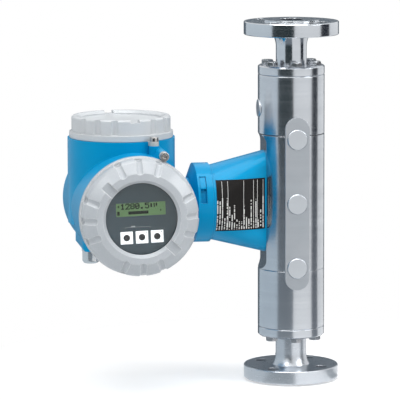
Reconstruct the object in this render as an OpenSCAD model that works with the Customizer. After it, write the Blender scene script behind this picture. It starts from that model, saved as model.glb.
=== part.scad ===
// Straight-tube coriolis flow meter with a field-mount transmitter head.
// +Z runs along the pipe, from the lower flange face at Z = 0 to the upper one.
// The neck and the head point to -X, the display faces -Y. Millimetres.

/* [Process connections] */
// Distance between the two flange faces
face_to_face = 440; // [420:5:500]
// Outside diameter of the flanges
flange_d = 115; // [110:1:130]
// Thickness of the flange rim, without the raised face
flange_t = 16; // [14:1:20]
// Diameter of the raised sealing face
face_d = 68; // [58:1:72]
// Height of the raised sealing face
face_h = 2; // [1:0.5:3]
// Bore of the connections
bore_d = 28.5; // [24:0.5:30]
// Bolt circle of the flanges
bolt_circle_d = 85; // [82:1:90]
// Diameter of the flange holes
bolt_hole_d = 14; // [11:1:14]
// Number of flange holes
bolt_holes = 4; // [4:4:8]
// Angle by which the flange holes are turned about the pipe
flange_turn = 5; // [0:1:45]
// Outside diameter of the pipe between flange and end plate
pipe_d = 37.3; // [35:0.1:40]
// Length of pipe and hub between flange and end plate
pipe_len = 37; // [30:1:50]
// Diameter of the hub where it meets the flange
hub_d = 46; // [42:0.5:50]
// Height of the hub
hub_h = 15; // [10:1:20]
// Thickness of the bolted end plates
end_plate_t = 11; // [9:1:14]

/* [End bolts] */
// Number of bolts that hold each end plate
end_bolts = 6; // [4:2:6]
// Shank diameter of the end bolts
end_bolt_d = 8; // [6:1:8]
// Width across flats of the bolt heads
end_bolt_flats = 13; // [10:1:13]
// Height of the bolt heads
end_bolt_head_h = 5.3; // [4:0.1:6]
// Bolt circle of the end bolts
end_bolt_circle_d = 61; // [60:0.5:63]
// How deep the end bolts reach into the flow splitter
end_bolt_grip = 14; // [8:1:14]

/* [Measuring section] */
// Outside diameter of the barrel
barrel_d = 80.8; // [80:0.2:86]
// Bore of the barrel
barrel_bore_d = 64; // [62:0.5:65]
// Distance between the two weld seams round the barrel
seam_span = 164.6; // [160:0.2:174]
// Distance from the pipe axis to the flat that carries the neck
flat_x = 34.3; // [33.6:0.1:35]
// Height of the level part of that flat
flat_h = 142; // [140:1:144]
// Radius of the curved run-outs at the ends of the flat
flat_runout_r = 15; // [10:1:18]

/* [Front plate and plugs] */
// Width of the obround plate on the front of the barrel
plate_w = 29.5; // [28:0.5:36]
// Length of the obround plate
plate_l = 210; // [196:1:230]
// How far the plate stands out from the barrel
plate_proud = 1.3; // [1:0.1:3]
// Distance between the plug centres along the plate
plug_pitch = 78.1; // [60:0.1:80]
// Diameter of the plug caps
plug_d = 24.6; // [20:0.2:27]
// Thickness of the plug caps
plug_cap_t = 2.6; // [2:0.1:4]
// How far the plug caps stand out from what they sit in
plug_proud = 1.4; // [0.5:0.1:1.6]
// Shank diameter of the plugs
plug_shank_d = 14; // [10:1:16]
// Diameter of the plug cap on the neck side
side_plug_d = 22; // [18:0.5:24]
// Height of the side plug above the middle of the meter
side_plug_z = 113; // [104:1:118]

/* [Measuring tubes] */
// Outside diameter of the two measuring tubes
tube_d = 17.5; // [16:0.5:18]
// Wall of the measuring tubes
tube_wall = 1; // [0.8:0.1:2]
// Distance between the two tube axes
tube_pitch = 25; // [24.5:0.1:26]
// Distance from the middle of the meter to each pick-off
pickup_span = 62; // [50:1:64]
// Thickness of the coupling plates
coupling_t = 2; // [1.5:0.5:3]
// Distance between the two coupling plates at each end
coupling_gap = 12; // [8:1:14]

/* [Neck] */
// Distance from the pipe axis to the round end of the neck casting
collar_x = 100; // [92:1:110]
// Height of the neck casting where it meets the barrel
neck_base_h = 122.6; // [110:0.2:132]
// Corner radius of the neck casting where it meets the barrel
neck_round = 16; // [10:1:18]
// Diameter of the round end of the neck casting
collar_d = 91.4; // [91:0.2:93]
// Wall of the neck casting
neck_wall = 5; // [4:0.5:6]
// Height of the nameplate on the neck
nameplate_h = 61.8; // [50:0.2:64]
// Thickness of the nameplate
nameplate_t = 0.6; // [0.4:0.1:1]

/* [Bayonet catch] */
// Outside diameter of the bayonet ring
ring_d = 96; // [94:0.5:99]
// Width of the cylindrical part of the ring
ring_w = 18.4; // [17.8:0.1:21]
// Width of the tapered end of the ring
ring_taper_w = 6; // [5:0.5:8]
// Diameter of the round stub of the head
stub_d = 60.4; // [58:0.2:62]
// Diameter of the joint faces inside the ring
joint_d = 86; // [85:0.5:87]
// Angle through which the ring turns to let the head go
ring_travel = 20; // [15:1:24]

/* [Transmitter housing] */
// Distance from the pipe axis to the axis of the connection compartment
terminal_x = 207.8; // [205:0.2:212]
// Outside diameter of the connection compartment
terminal_d = 129; // [128:0.5:131]
// Height of its rim above the axis of the head
terminal_top = 82; // [80:0.5:88]
// Distance from the pipe axis to the display axis
display_x = 201.1; // [200:0.1:206]
// Outside diameter of the electronics barrel
display_d = 139; // [137:0.5:140]
// Distance from the pipe axis plane to the front rim of the electronics barrel
barrel_front = 98; // [96:0.5:104]
// Distance from the pipe axis plane to the back of the electronics barrel
barrel_back = 80; // [76:1:90]
// Width of the cable entry block
entry_block_w = 116; // [110:1:118]
// Depth of the cable entry block
entry_block_d = 90; // [80:1:100]
// Distance from the axis of the head down to the cable entries
entry_drop = 52; // [51:0.5:60]
// Distance between the two cable entries
entry_pitch = 87; // [84:0.5:88]

/* [Covers] */
// Diameter of the base ring of the display cover
display_cover_d = 141.2; // [140.4:0.2:144]
// Distance from the front rim of the housing to the face of the display cover
display_cover_depth = 33; // [31:0.5:40]
// Diameter of the display opening
window_d = 84.8; // [80:0.2:86]
// Diameter of the grip of the connection cover
terminal_cover_d = 119; // [117.5:0.5:122]
// Height of the connection cover
terminal_cover_h = 26; // [24:0.5:32]
// Width of the grip notches in both covers
notch_w = 10; // [8:0.5:12]
// Pitch of the cover threads
thread_pitch = 2; // [1.5:0.25:2]
// Turn of the display cover and its slots
display_cover_turn = 2; // [-20:1:20]
// Turn of the connection cover and its slots
terminal_cover_turn = -36; // [-45:1:45]

/* [Display] */
// Turn of the display module
module_turn = 2; // [-10:0.5:10]
// Width of the liquid crystal display
lcd_w = 58.3; // [50:0.1:62]
// Height of the liquid crystal display
lcd_h = 15.6; // [12:0.1:18]
// Width of each of the three optical key fields
key_w = 14.6; // [12:0.1:16]
// Distance between neighbouring key fields
key_pitch = 18; // [17:0.1:20]

/* [Cable glands] */
// Diameter of the gland threads
gland_d = 16; // [14:1:18]
// Width across flats of the gland bodies
gland_flats = 19; // [18:0.5:22]
// Diameter of the domed gland nuts
gland_nut_d = 20.4; // [20:0.2:24]
// Diameter of the cable opening in each gland
gland_bore_d = 8; // [6:0.5:9]

/* [Hidden] */

// Smoothness of large, middling and small round shapes
fine = 96;
medium = 64;
small = 32;
// A cut runs past the face it opens by this much
over = 1;
// Fits: close for turned seats, running for parts that turn or slide past each other
close_fit = 0.05;
running_fit = 0.3;

mid = face_to_face / 2;
barrel_r = barrel_d / 2;
pipe_r = pipe_d / 2;
bore_r = bore_d / 2;
hub_z = face_h + flange_t;
plate_z = hub_z + pipe_len;
barrel_z = plate_z + end_plate_t;
barrel_h = face_to_face - 2 * barrel_z;
edge = 0.8;
seam_w = 1.6;
seam_depth = 0.8;

// Splitter: a flange in the end of the barrel, and a neck round the tubes
splitter_flange_r = end_bolt_circle_d / 2 + end_bolt_d / 2 + 1.9;
splitter_flange_h = end_bolt_grip + 4;
splitter_h = splitter_flange_h + 10;
inlet_h = 4;
tube_r = tube_d / 2;
tube_ir = tube_r - tube_wall;
chamber_h = 9;
chamber_r = tube_pitch / 2 + tube_ir + 0.6;
seat_z = inlet_h + chamber_h + 1.5;
seal_r = bore_r + 4.2;
seal_w = 2.8;
seal_h = 1.8;

// Sensors between the measuring tubes
clamp_h = 8;
clamp_t = 2.2;
coil_x = 17;
coil_r = 6.5;
coil_bore_r = 3.6;
magnet_r = 5.5;
magnet_pin_r = 3;
coil_near = 1.5;
coil_len = 6;
arm_t = 3;

plate_face = barrel_r + plate_proud;
plug_shank_in = barrel_bore_d / 2 + 1;
side_plug_seat = sqrt(pow(barrel_r, 2) - pow(side_plug_d / 2 + running_fit, 2)) - 0.1;

// Feedthrough and loom run along the axis of the head
feed_r = 13;
feed_in = barrel_bore_d / 2 - 1;
feed_out = flat_x + 1.6;
loom_r = 4.5;

neck_base_w = 2 * sqrt(pow(barrel_r, 2) - pow(flat_x, 2)) - 0.1;
collar_r = collar_d / 2;
collar_step = 2.3;
collar_lip = 0.4;
joint_r = joint_d / 2;
ring_x = collar_x + collar_step + running_fit;
ring_end_x = ring_x + ring_w;
joint_x = ring_end_x - 3;
flange_disc_t = 3;
lip_x = joint_x + flange_disc_t + 2 * running_fit;
ring_bore_r = joint_r + running_fit;
stub_r = stub_d / 2;
pilot_r = 34.8;
pilot_len = 12;
lug_t = 4;
lug_w = 7.2;
lug_end = 47;
lug_span = 19.5;
window_start = lug_end - lug_span - ring_travel - 1.5;
screw_hole_r = 2.6;

terminal_r = terminal_d / 2;
terminal_spigot_r = terminal_cover_d / 2 - 5.5;
terminal_mouth_r = terminal_spigot_r - 5.5;
spigot_h = 10;
partition_y = 26;
partition_t = 6;
display_r = display_d / 2;
display_spigot_r = display_r - 7.5;
display_spigot_h = 14;
electronics_r = display_spigot_r - 5;
back_round = 8;
entry_corner = 14;
entry_chamfer = 3;
stub_bore_r = 18;
wall_bottom = 13;

cover_gap = 0.3;
cover_base_h = 6;
display_cover_r = display_cover_d / 2;
display_wall_r = display_cover_r - 1.8;
bevel_w = 12.4;
bevel_drop = 8;
rim_w = 2.4;
rim_drop = 3.6;
front_wall = 4.4;
window_r = window_d / 2;
window_chamfer = 3.6;
glass_r = window_r + 4.6;
glass_t = 4.5;
glass_pocket_r = glass_r + 0.2;
retainer_t = 3;
retainer_ir = window_r + 1.6;
face_r = retainer_ir - 0.8;
face_t = 4;
cover_face = barrel_front + display_cover_depth;
glass_front = cover_face - front_wall;
face_front = glass_front - glass_t - 0.8;
carrier_r = face_r - 6;
slot_w = 11;
slot_depth = 3.6;
notch_r = notch_w / 2;
notch_step = 21;
seal_section = 2;

terminal_rim = mid + terminal_top;
terminal_cover_r = terminal_cover_d / 2;
terminal_base_r = terminal_cover_r + 2.9;
terminal_shoulder_r = 2.5;
recess_r = terminal_cover_r - 10;
recess_depth = 5;
recess_step = 2;

// Cover clamps: where their screws stand, seen from the axis of each cover
display_claw_angle = 66.3;
display_claw_reach = display_cover_r + 5.7;
display_boss_r = 5.5;
terminal_claw_angle = -63.7;
terminal_boss_r = 6.5;
claw_r = 5.4;
claw_w = 9;
claw_t = 5.2;
claw_screw_r = 5.2;
claw_screw_h = 5;
claw_shank_r = 2.5;
claw_shank_len = 12;
terminal_claw_reach = terminal_r + claw_r + running_fit;

lcd_y = 11;
key_y = -22;
key_t = 0.4;

gland_hex_h = 5;
gland_nut_h = 15;
gland_grip = 11;
entry_z = mid - entry_drop;
entry_y = 8;
entry_seat_r = gland_flats / (2 * cos(30)) + 0.8;

// ---- Frames of reference ----

// Local +Z runs from the pipe axis to the head, local +X is up
module head_axis(from = 0) {
    translate([0, 0, mid]) rotate([0, -90, 0]) translate([0, 0, from]) children();
}

// Local +Z runs out of the display towards -Y, local +Y is up
module display_axis(from = 0) {
    translate([-display_x, 0, mid]) rotate([90, 0, 0]) translate([0, 0, from]) children();
}

// Local +Z is up, on the axis of the connection compartment
module terminal_axis(z = 0) {
    translate([-terminal_x, 0, z]) children();
}

// The upper end is the lower end turned over, so that the holes stay in line
module both_ends(upper) {
    if (upper) translate([0, 0, face_to_face]) mirror([0, 0, 1]) children();
    else children();
}

// ---- Shared outlines and shapes ----

module obround(length, width) {
    square([width, length - width], center = true);
    for (side = [-1, 1]) translate([0, side * (length - width) / 2]) circle(d = width, $fn = medium);
}

module rounded_rect(x, y, r) {
    square([x - 2 * r, y], center = true);
    square([x, y - 2 * r], center = true);
    for (i = [-1, 1], j = [-1, 1]) translate([i * (x / 2 - r), j * (y / 2 - r)]) circle(r = r, $fn = medium);
}

module ring_solid(outer, inner, h) {
    difference() {
        cylinder(r = outer, h = h, $fn = fine);
        translate([0, 0, -over]) cylinder(r = inner, h = h + 2 * over, $fn = fine);
    }
}

module at_end_bolts() {
    for (i = [0 : end_bolts - 1]) rotate([0, 0, 30 + i * 360 / end_bolts]) translate([end_bolt_circle_d / 2, 0, 0])
        children();
}

module at_plugs() {
    for (i = [-1, 0, 1]) translate([0, 0, mid + i * plug_pitch]) rotate([90, 0, 0]) children();
}

module at_side_plug() {
    translate([0, 0, mid + side_plug_z]) rotate([0, -90, 0]) children();
}

module at_tubes() {
    for (side = [-1, 1]) translate([0, side * tube_pitch / 2, 0]) children();
}

// A plug with a chamfered cap, its cap's back face at Z = 0
module plug(cap_r, shank_len) {
    rotate_extrude($fn = medium) polygon([
        [0, -shank_len], [plug_shank_d / 2 - edge, -shank_len], [plug_shank_d / 2, edge - shank_len],
        [plug_shank_d / 2, 0], [cap_r, 0], [cap_r, plug_cap_t - edge], [cap_r - edge, plug_cap_t], [0, plug_cap_t]
    ]);
}

// A socket head screw, the underside of its head at Z = 0
module socket_screw(head_r, head_h, shank_r, shank_len) {
    difference() {
        union() {
            cylinder(r = head_r, h = head_h - edge / 2, $fn = small);
            translate([0, 0, head_h - edge / 2]) cylinder(r1 = head_r, r2 = head_r - edge / 2, h = edge / 2, $fn = small);
            translate([0, 0, -shank_len]) cylinder(r = shank_r, h = shank_len + edge, $fn = small);
        }
        translate([0, 0, head_h / 3]) cylinder(r = head_r * 0.5, h = head_h, $fn = 6);
    }
}

// ---- Sensor ----

// Flange ring with its raised sealing face
module flange_ring() {
    difference() {
        rotate_extrude($fn = fine) polygon([
            [bore_r, 0], [face_d / 2, 0], [face_d / 2, face_h], [flange_d / 2 - edge, face_h],
            [flange_d / 2, face_h + edge], [flange_d / 2, hub_z - edge], [flange_d / 2 - edge, hub_z],
            [bore_r, hub_z]
        ]);
        for (i = [0 : bolt_holes - 1]) rotate([0, 0, flange_turn + (i + 0.5) * 360 / bolt_holes])
            translate([bolt_circle_d / 2, 0, -over]) cylinder(d = bolt_hole_d, h = hub_z + 2 * over, $fn = medium);
    }
}

// Weld neck: a hub that flares in a hollow curve into the pipe
module weld_neck() {
    flare = hub_d / 2 - pipe_r;
    flare_r = (pow(hub_h, 2) + pow(flare, 2)) / (2 * flare);
    rotate_extrude($fn = fine) {
        difference() {
            translate([bore_r, hub_z]) square([hub_d / 2 - bore_r, hub_h]);
            translate([pipe_r + flare_r, hub_z + hub_h]) circle(r = flare_r, $fn = fine);
        }
        translate([bore_r, hub_z + hub_h]) square([pipe_r - bore_r, pipe_len - hub_h]);
    }
}

// Chamfered plate that closes one end of the barrel
module end_plate() {
    difference() {
        rotate_extrude($fn = fine) polygon([
            [bore_r, plate_z], [barrel_r - 1.5, plate_z], [barrel_r, plate_z + 1.5],
            [barrel_r, barrel_z - edge], [barrel_r - edge, barrel_z], [bore_r, barrel_z]
        ]);
        at_end_bolts() translate([0, 0, plate_z - over])
            cylinder(d = end_bolt_d + 1, h = end_plate_t + 2 * over, $fn = small);
    }
}

module lower_flange() {
    color("silver") both_ends(false) flange_ring();
}

module upper_flange() {
    color("silver") both_ends(true) flange_ring();
}

module lower_neck() {
    color("silver") both_ends(false) weld_neck();
}

module upper_neck() {
    color("silver") both_ends(true) weld_neck();
}

module lower_end_plate() {
    color("silver") both_ends(false) end_plate();
}

module upper_end_plate() {
    color("silver") both_ends(true) end_plate();
}

// Hex bolts, with a washer face under a chamfered head
module end_bolt_set() {
    at_end_bolts() translate([0, 0, plate_z]) {
        cylinder(d = end_bolt_d, h = end_plate_t + end_bolt_grip, $fn = small);
        translate([0, 0, -0.4]) cylinder(d = end_bolt_flats * 0.95, h = 0.4, $fn = small);
        intersection() {
            translate([0, 0, -end_bolt_head_h])
                cylinder(d = end_bolt_flats / cos(30), h = end_bolt_head_h - 0.4, $fn = 6);
            translate([0, 0, -end_bolt_head_h])
                cylinder(d1 = end_bolt_flats, d2 = end_bolt_flats + 2 * end_bolt_head_h, h = end_bolt_head_h, $fn = medium);
        }
    }
}

module lower_end_bolts() {
    color("lightgray") both_ends(false) end_bolt_set();
}

module upper_end_bolts() {
    color("lightgray") both_ends(true) end_bolt_set();
}

// Flat sealing rings between the end plates and the splitters
module end_seals() {
    color("dimgray") for (upper = [false, true]) both_ends(upper)
        translate([0, 0, barrel_z + close_fit]) ring_solid(seal_r + seal_w - close_fit, seal_r + close_fit, seal_h - close_fit);
}

// Splits the flow of the pipe into the two tubes
module splitter() {
    translate([0, 0, barrel_z]) difference() {
        union() {
            cylinder(r = splitter_flange_r, h = splitter_flange_h, $fn = fine);
            cylinder(r = barrel_bore_d / 2 - running_fit, h = splitter_h, $fn = fine);
        }
        translate([0, 0, -over]) cylinder(r = bore_r, h = inlet_h + over, $fn = medium);
        translate([0, 0, inlet_h]) cylinder(r1 = bore_r, r2 = chamber_r, h = chamber_h, $fn = medium);
        at_tubes() {
            translate([0, 0, inlet_h + chamber_h - 0.1]) cylinder(r = tube_ir, h = splitter_h, $fn = medium);
            translate([0, 0, seat_z]) cylinder(r = tube_r + close_fit, h = splitter_h, $fn = medium);
        }
        at_end_bolts() translate([0, 0, -over])
            cylinder(d = end_bolt_d + 2 * close_fit, h = end_bolt_grip + over + 1, $fn = small);
        translate([0, 0, -over]) ring_solid(seal_r + seal_w, seal_r, seal_h + over);
    }
}

module lower_splitter() {
    color("gray") both_ends(false) splitter();
}

module upper_splitter() {
    color("gray") both_ends(true) splitter();
}

// Containment barrel with two weld seams, the flat for the neck and the plug holes
module barrel() {
    color("silver") difference() {
        translate([0, 0, barrel_z]) rotate_extrude($fn = fine) difference() {
            polygon([
                [barrel_bore_d / 2, 0], [barrel_r - edge, 0], [barrel_r, edge],
                [barrel_r, barrel_h - edge], [barrel_r - edge, barrel_h], [barrel_bore_d / 2, barrel_h]
            ]);
            for (side = [-1, 1]) translate([barrel_r, barrel_h / 2 + side * seam_span / 2])
                polygon([[over, -seam_w], [over, seam_w], [-seam_depth, 0]]);
        }
        for (upper = [false, true]) both_ends(upper) translate([0, 0, barrel_z - over])
            cylinder(r = splitter_flange_r + 0.2, h = splitter_flange_h + over + 0.2, $fn = fine);
        rotate([90, 0, 0]) linear_extrude(2 * barrel_d, center = true) {
            translate([-flat_x - 2 * flat_runout_r, mid - flat_h / 2]) square([2 * flat_runout_r, flat_h]);
            for (side = [-1, 1]) translate([-flat_x - flat_runout_r, mid + side * flat_h / 2])
                circle(r = flat_runout_r, $fn = medium);
        }
        at_plugs() cylinder(d = plug_shank_d + 2 * close_fit, h = barrel_d, $fn = medium);
        at_side_plug() {
            cylinder(d = plug_shank_d + 2 * close_fit, h = barrel_d, $fn = medium);
            translate([0, 0, side_plug_seat]) cylinder(d = side_plug_d + 2 * running_fit, h = barrel_d, $fn = medium);
        }
        head_axis() cylinder(r = feed_r + close_fit, h = barrel_d, $fn = medium);
    }
}

// Obround pad along the front, saddled on the barrel
module front_plate() {
    color("gainsboro") difference() {
        translate([0, 0, mid]) rotate([90, 0, 0]) linear_extrude(plate_face) obround(plate_l, plate_w);
        translate([0, 0, mid]) cylinder(r = barrel_r, h = plate_l + 2 * over, center = true, $fn = fine);
        at_plugs() {
            cylinder(d = plug_shank_d + 2 * close_fit, h = plate_face + over, $fn = medium);
            translate([0, 0, plate_face - plug_cap_t + plug_proud])
                cylinder(d = plug_d + 2 * close_fit, h = plug_cap_t, $fn = medium);
        }
    }
}

module front_plugs() {
    seat = plate_face - plug_cap_t + plug_proud;
    color("gainsboro") at_plugs() translate([0, 0, seat]) plug(plug_d / 2, seat - plug_shank_in);
}

module side_plug() {
    color("gainsboro") at_side_plug() translate([0, 0, side_plug_seat])
        plug(side_plug_d / 2, side_plug_seat - plug_shank_in);
}

module measuring_tube() {
    start = barrel_z + seat_z;
    translate([0, 0, start]) ring_solid(tube_r, tube_ir, face_to_face - 2 * start);
}

module front_tube() {
    color("lightsteelblue") translate([0, -tube_pitch / 2, 0]) measuring_tube();
}

module rear_tube() {
    color("lightsteelblue") translate([0, tube_pitch / 2, 0]) measuring_tube();
}

// Plates that tie the two tubes together near their ends
module coupling_plates() {
    first = barrel_z + splitter_h + coupling_gap;
    color("gray") for (upper = [false, true], row = [0, 1]) both_ends(upper)
        translate([0, 0, first + row * coupling_gap]) difference() {
            linear_extrude(coupling_t) obround(tube_pitch + tube_d + 5, tube_d + 5);
            at_tubes() translate([0, 0, -over]) cylinder(r = tube_r + close_fit, h = coupling_t + 2 * over, $fn = medium);
        }
}

// Clamp round one tube, with the arm that carries a coil or a magnet
module tube_clamp() {
    reach = coil_x + coil_r;
    difference() {
        union() {
            translate([0, -tube_pitch / 2, -clamp_h / 2]) cylinder(r = tube_r + clamp_t, h = clamp_h, $fn = medium);
            translate([0, -coil_near - coil_len - arm_t, -clamp_h / 2]) cube([reach, arm_t, clamp_h]);
        }
        translate([0, -tube_pitch / 2, -clamp_h]) cylinder(r = tube_r + close_fit, h = 2 * clamp_h, $fn = medium);
    }
}

module coil_unit() {
    tube_clamp();
    translate([coil_x, -coil_near, 0]) rotate([90, 0, 0]) difference() {
        cylinder(r = coil_r, h = coil_len, $fn = small);
        translate([0, 0, -over]) cylinder(r = coil_bore_r, h = coil_len + over - 0.5, $fn = small);
    }
}

module magnet_unit() {
    mirror([0, 1, 0]) {
        tube_clamp();
        translate([coil_x, 0, 0]) rotate([90, 0, 0]) {
            translate([0, 0, coil_near]) cylinder(r = magnet_r, h = coil_len, $fn = small);
            translate([0, 0, 1 - coil_near - coil_len]) cylinder(r = magnet_pin_r, h = 2 * coil_near + coil_len, $fn = small);
        }
    }
}

module exciter_coil() {
    color("peru") translate([0, 0, mid]) coil_unit();
}

module exciter_magnet() {
    color("slategray") translate([0, 0, mid]) magnet_unit();
}

module pickup_coils() {
    color("peru") for (side = [-1, 1]) translate([0, 0, mid + side * pickup_span]) coil_unit();
}

module pickup_magnets() {
    color("slategray") for (side = [-1, 1]) translate([0, 0, mid + side * pickup_span]) magnet_unit();
}

module temperature_sensor() {
    sensor_r = 2.2;
    color("white") translate([-tube_r - sensor_r, tube_pitch / 2, mid + clamp_h]) cylinder(r = sensor_r, h = 18, $fn = small);
}

// Sealed pin disc in the flat of the barrel
module feedthrough() {
    color("goldenrod") head_axis() {
        translate([0, 0, feed_in]) cylinder(r = feed_r, h = feed_out - feed_in, $fn = medium);
        for (i = [0 : 5]) rotate([0, 0, i * 60]) translate([feed_r * 0.65, 0, feed_in - 3])
            cylinder(r = 0.8, h = feed_out - feed_in + 5, $fn = small);
    }
}

// Wiring between the sensor and the head, in its sleeve
module signal_loom() {
    color("black") head_axis(feed_out + close_fit)
        cylinder(r = loom_r, h = display_x - electronics_r + 4 - feed_out, $fn = small);
}

// ---- Neck ----

// Loft from the flat of the barrel to the round collar, swollen by grow
module neck_loft(grow = 0) {
    hull() {
        head_axis(flat_x) linear_extrude(0.1)
            rounded_rect(neck_base_h + 2 * grow, neck_base_w + 2 * grow, neck_round + grow);
        head_axis(collar_x - 0.1) cylinder(r = collar_r - collar_lip + grow, h = 0.1, $fn = medium);
    }
}

// Lugs that the bayonet ring locks behind, front and back
module catch_lugs() {
    for (half = [0, 180]) rotate([0, 0, half - 90 + lug_end - lug_span])
        rotate_extrude(angle = lug_span, $fn = fine)
            translate([joint_r - 0.5, joint_x - lug_w]) square([lug_t + 0.5, lug_w]);
}

module neck_casting() {
    color("deepskyblue") difference() {
        union() {
            neck_loft();
            head_axis(collar_x - 0.1) cylinder(r = collar_r, h = collar_step + 0.1, $fn = fine);
            head_axis(collar_x) cylinder(r = joint_r, h = joint_x - collar_x, $fn = fine);
            head_axis() catch_lugs();
        }
        hull() {
            head_axis(flat_x - over) linear_extrude(over)
                rounded_rect(neck_base_h - 2 * neck_wall, neck_base_w - 2 * neck_wall, neck_round - neck_wall);
            head_axis(collar_x - pilot_len) cylinder(r = pilot_r - 2 - collar_lip, h = 0.1, $fn = medium);
        }
        head_axis(collar_x - pilot_len) cylinder(r = pilot_r - 2, h = joint_x, $fn = fine);
        head_axis(joint_x - pilot_len - running_fit) cylinder(r = pilot_r + running_fit, h = joint_x, $fn = fine);
    }
}

// Thin plate that follows the front of the neck
module nameplate() {
    plate_near = flat_x + 2;
    plate_far = collar_x - 1.5;
    color("black") difference() {
        intersection() {
            neck_loft(nameplate_t);
            translate([-plate_far, -collar_d, mid - nameplate_h / 2])
                cube([plate_far - plate_near, collar_d, nameplate_h]);
        }
        neck_loft();
    }
}

// ---- Bayonet catch ----

module bayonet_ring() {
    lip_r = stub_r + running_fit + 0.1;
    color("deepskyblue") head_axis() difference() {
        rotate_extrude($fn = fine) polygon([
            [ring_bore_r, ring_x], [ring_d / 2, ring_x], [ring_d / 2, ring_end_x],
            [lip_r + 2.4, ring_end_x + ring_taper_w], [lip_r, ring_end_x + ring_taper_w],
            [lip_r, lip_x], [ring_bore_r, lip_x]
        ]);
        for (half = [0, 180]) rotate([0, 0, half - 90 + window_start])
            rotate_extrude(angle = lug_end + 0.5 - window_start, $fn = fine)
                translate([joint_r - over, joint_x - lug_w - running_fit]) square([ring_d / 2, lug_w + 2 * running_fit]);
        for (half = [0, 180]) rotate([0, 0, half]) translate([0, 0, ring_x + 4]) rotate([0, 90, 0])
            translate([0, 0, joint_r - over]) cylinder(r = screw_hole_r, h = ring_d, $fn = small);
    }
}

// Socket set screws that lock the ring on the neck
module securing_screws() {
    color("silver") head_axis(ring_x + 4) for (half = [0, 180]) rotate([0, 0, half]) rotate([0, 90, 0])
        translate([0, 0, joint_r + close_fit]) difference() {
            cylinder(r = screw_hole_r - close_fit, h = ring_d / 2 - joint_r - 0.4, $fn = small);
            translate([0, 0, 2]) cylinder(r = 1.4, h = ring_d, $fn = 6);
        }
}

// ---- Transmitter housing ----

module entry_block() {
    depth = entry_drop + terminal_r / 2;
    translate([-display_x, entry_y, entry_z]) intersection() {
        linear_extrude(depth) rounded_rect(entry_block_w, entry_block_d, entry_corner);
        rotate([90, 0, 0]) linear_extrude(2 * entry_block_w, center = true) chamfered_foot(entry_block_w / 2, depth);
        rotate([90, 0, 90]) linear_extrude(2 * entry_block_w, center = true) chamfered_foot(entry_block_d / 2, depth);
    }
}

module chamfered_foot(half, depth) {
    polygon([
        [half, depth], [half, entry_chamfer], [half - entry_chamfer, 0],
        [entry_chamfer - half, 0], [-half, entry_chamfer], [-half, depth]
    ]);
}

// Where the screw of each cover clamp stands
module at_display_claw(from = 0) {
    display_axis(from) rotate([0, 0, display_claw_angle]) translate([display_claw_reach, 0, 0]) children();
}

module at_terminal_claw(z = 0) {
    terminal_axis(z) rotate([0, 0, terminal_claw_angle]) translate([terminal_claw_reach, 0, 0]) children();
}

module at_entries() {
    for (side = [-1, 1]) translate([side * entry_pitch / 2 - display_x, entry_y, entry_z]) children();
}

module housing_body() {
    terminal_axis(mid - terminal_top / 4) cylinder(r = terminal_r, h = terminal_top * 1.25, $fn = fine);
    terminal_axis(terminal_rim) cylinder(r = terminal_spigot_r, h = spigot_h, $fn = fine);
    display_axis() rotate_extrude($fn = fine) {
        translate([0, back_round - barrel_back]) square([display_r, barrel_front + barrel_back - back_round]);
        translate([0, -barrel_back]) square([display_r - back_round, back_round]);
        translate([display_r - back_round, back_round - barrel_back]) circle(r = back_round, $fn = medium);
    }
    display_axis(barrel_front) cylinder(r = display_spigot_r, h = display_spigot_h, $fn = fine);
    entry_block();
    head_axis(joint_x + flange_disc_t) cylinder(r = stub_r, h = terminal_x - joint_x, $fn = fine);
    head_axis(joint_x + running_fit) cylinder(r = joint_r, h = flange_disc_t, $fn = fine);
    head_axis(joint_x - pilot_len) cylinder(r = pilot_r, h = pilot_len + flange_disc_t, $fn = fine);
    at_display_claw(barrel_front / 3) linear_extrude(barrel_front * 2 / 3 - 1) {
        circle(r = display_boss_r, $fn = medium);
        translate([-2 * display_boss_r, -display_boss_r]) square(2 * display_boss_r);
    }
    at_terminal_claw(terminal_rim - 30) cylinder(r = terminal_boss_r, h = 30 - 4.4, $fn = small);
}

// Electronics barrel, connection compartment, cable entries and neck stub in one casting
module transmitter_housing() {
    well_z = entry_z + wall_bottom;
    color("deepskyblue") difference() {
        housing_body();
        display_axis(partition_y + partition_t)
            cylinder(r = electronics_r, h = barrel_front, $fn = fine);
        terminal_axis(terminal_rim - 9) cylinder(r = terminal_mouth_r, h = spigot_h + 10, $fn = fine);
        intersection() {
            terminal_axis(well_z) cylinder(r = terminal_mouth_r, h = terminal_rim - well_z, $fn = fine);
            translate([-terminal_x - terminal_r, -partition_y, 0]) cube([terminal_d, terminal_d, face_to_face]);
        }
        head_axis(joint_x - pilot_len - over) cylinder(r = stub_bore_r, h = display_x - joint_x - electronics_r / 2, $fn = medium);
        head_axis(joint_x - 8) ring_solid(pilot_r + over, pilot_r - 2.4, 3);
        at_entries() {
            translate([0, 0, -over]) cylinder(d = gland_d + 2 * close_fit, h = entry_drop * 0.6, $fn = medium);
            translate([0, 0, -2 * gland_nut_h]) cylinder(r = entry_seat_r, h = 2 * gland_nut_h, $fn = medium);
        }
        at_display_claw(barrel_front - claw_shank_len - 2) cylinder(r = claw_shank_r + close_fit, h = claw_shank_len + 4, $fn = small);
        at_terminal_claw(terminal_rim - 4.4 - claw_shank_len) cylinder(r = claw_shank_r + close_fit, h = claw_shank_len + over, $fn = small);
    }
}

// Ring seal in the groove of the head's pilot
module neck_seal() {
    color("black") head_axis(joint_x - 8 + close_fit) ring_solid(pilot_r + 0.1, pilot_r - 2.4 + close_fit, 3 - 2 * close_fit);
}

// Claw with a round pad under the screw and a foot on one side, so that it can swing clear
module claw(foot) {
    difference() {
        linear_extrude(claw_t) {
            circle(r = claw_r, $fn = medium);
            translate([-foot, -claw_w / 2]) square([foot, claw_w / 2]);
        }
        translate([0, 0, -over]) cylinder(r = claw_shank_r + close_fit, h = claw_t + 2 * over, $fn = small);
    }
}

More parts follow.
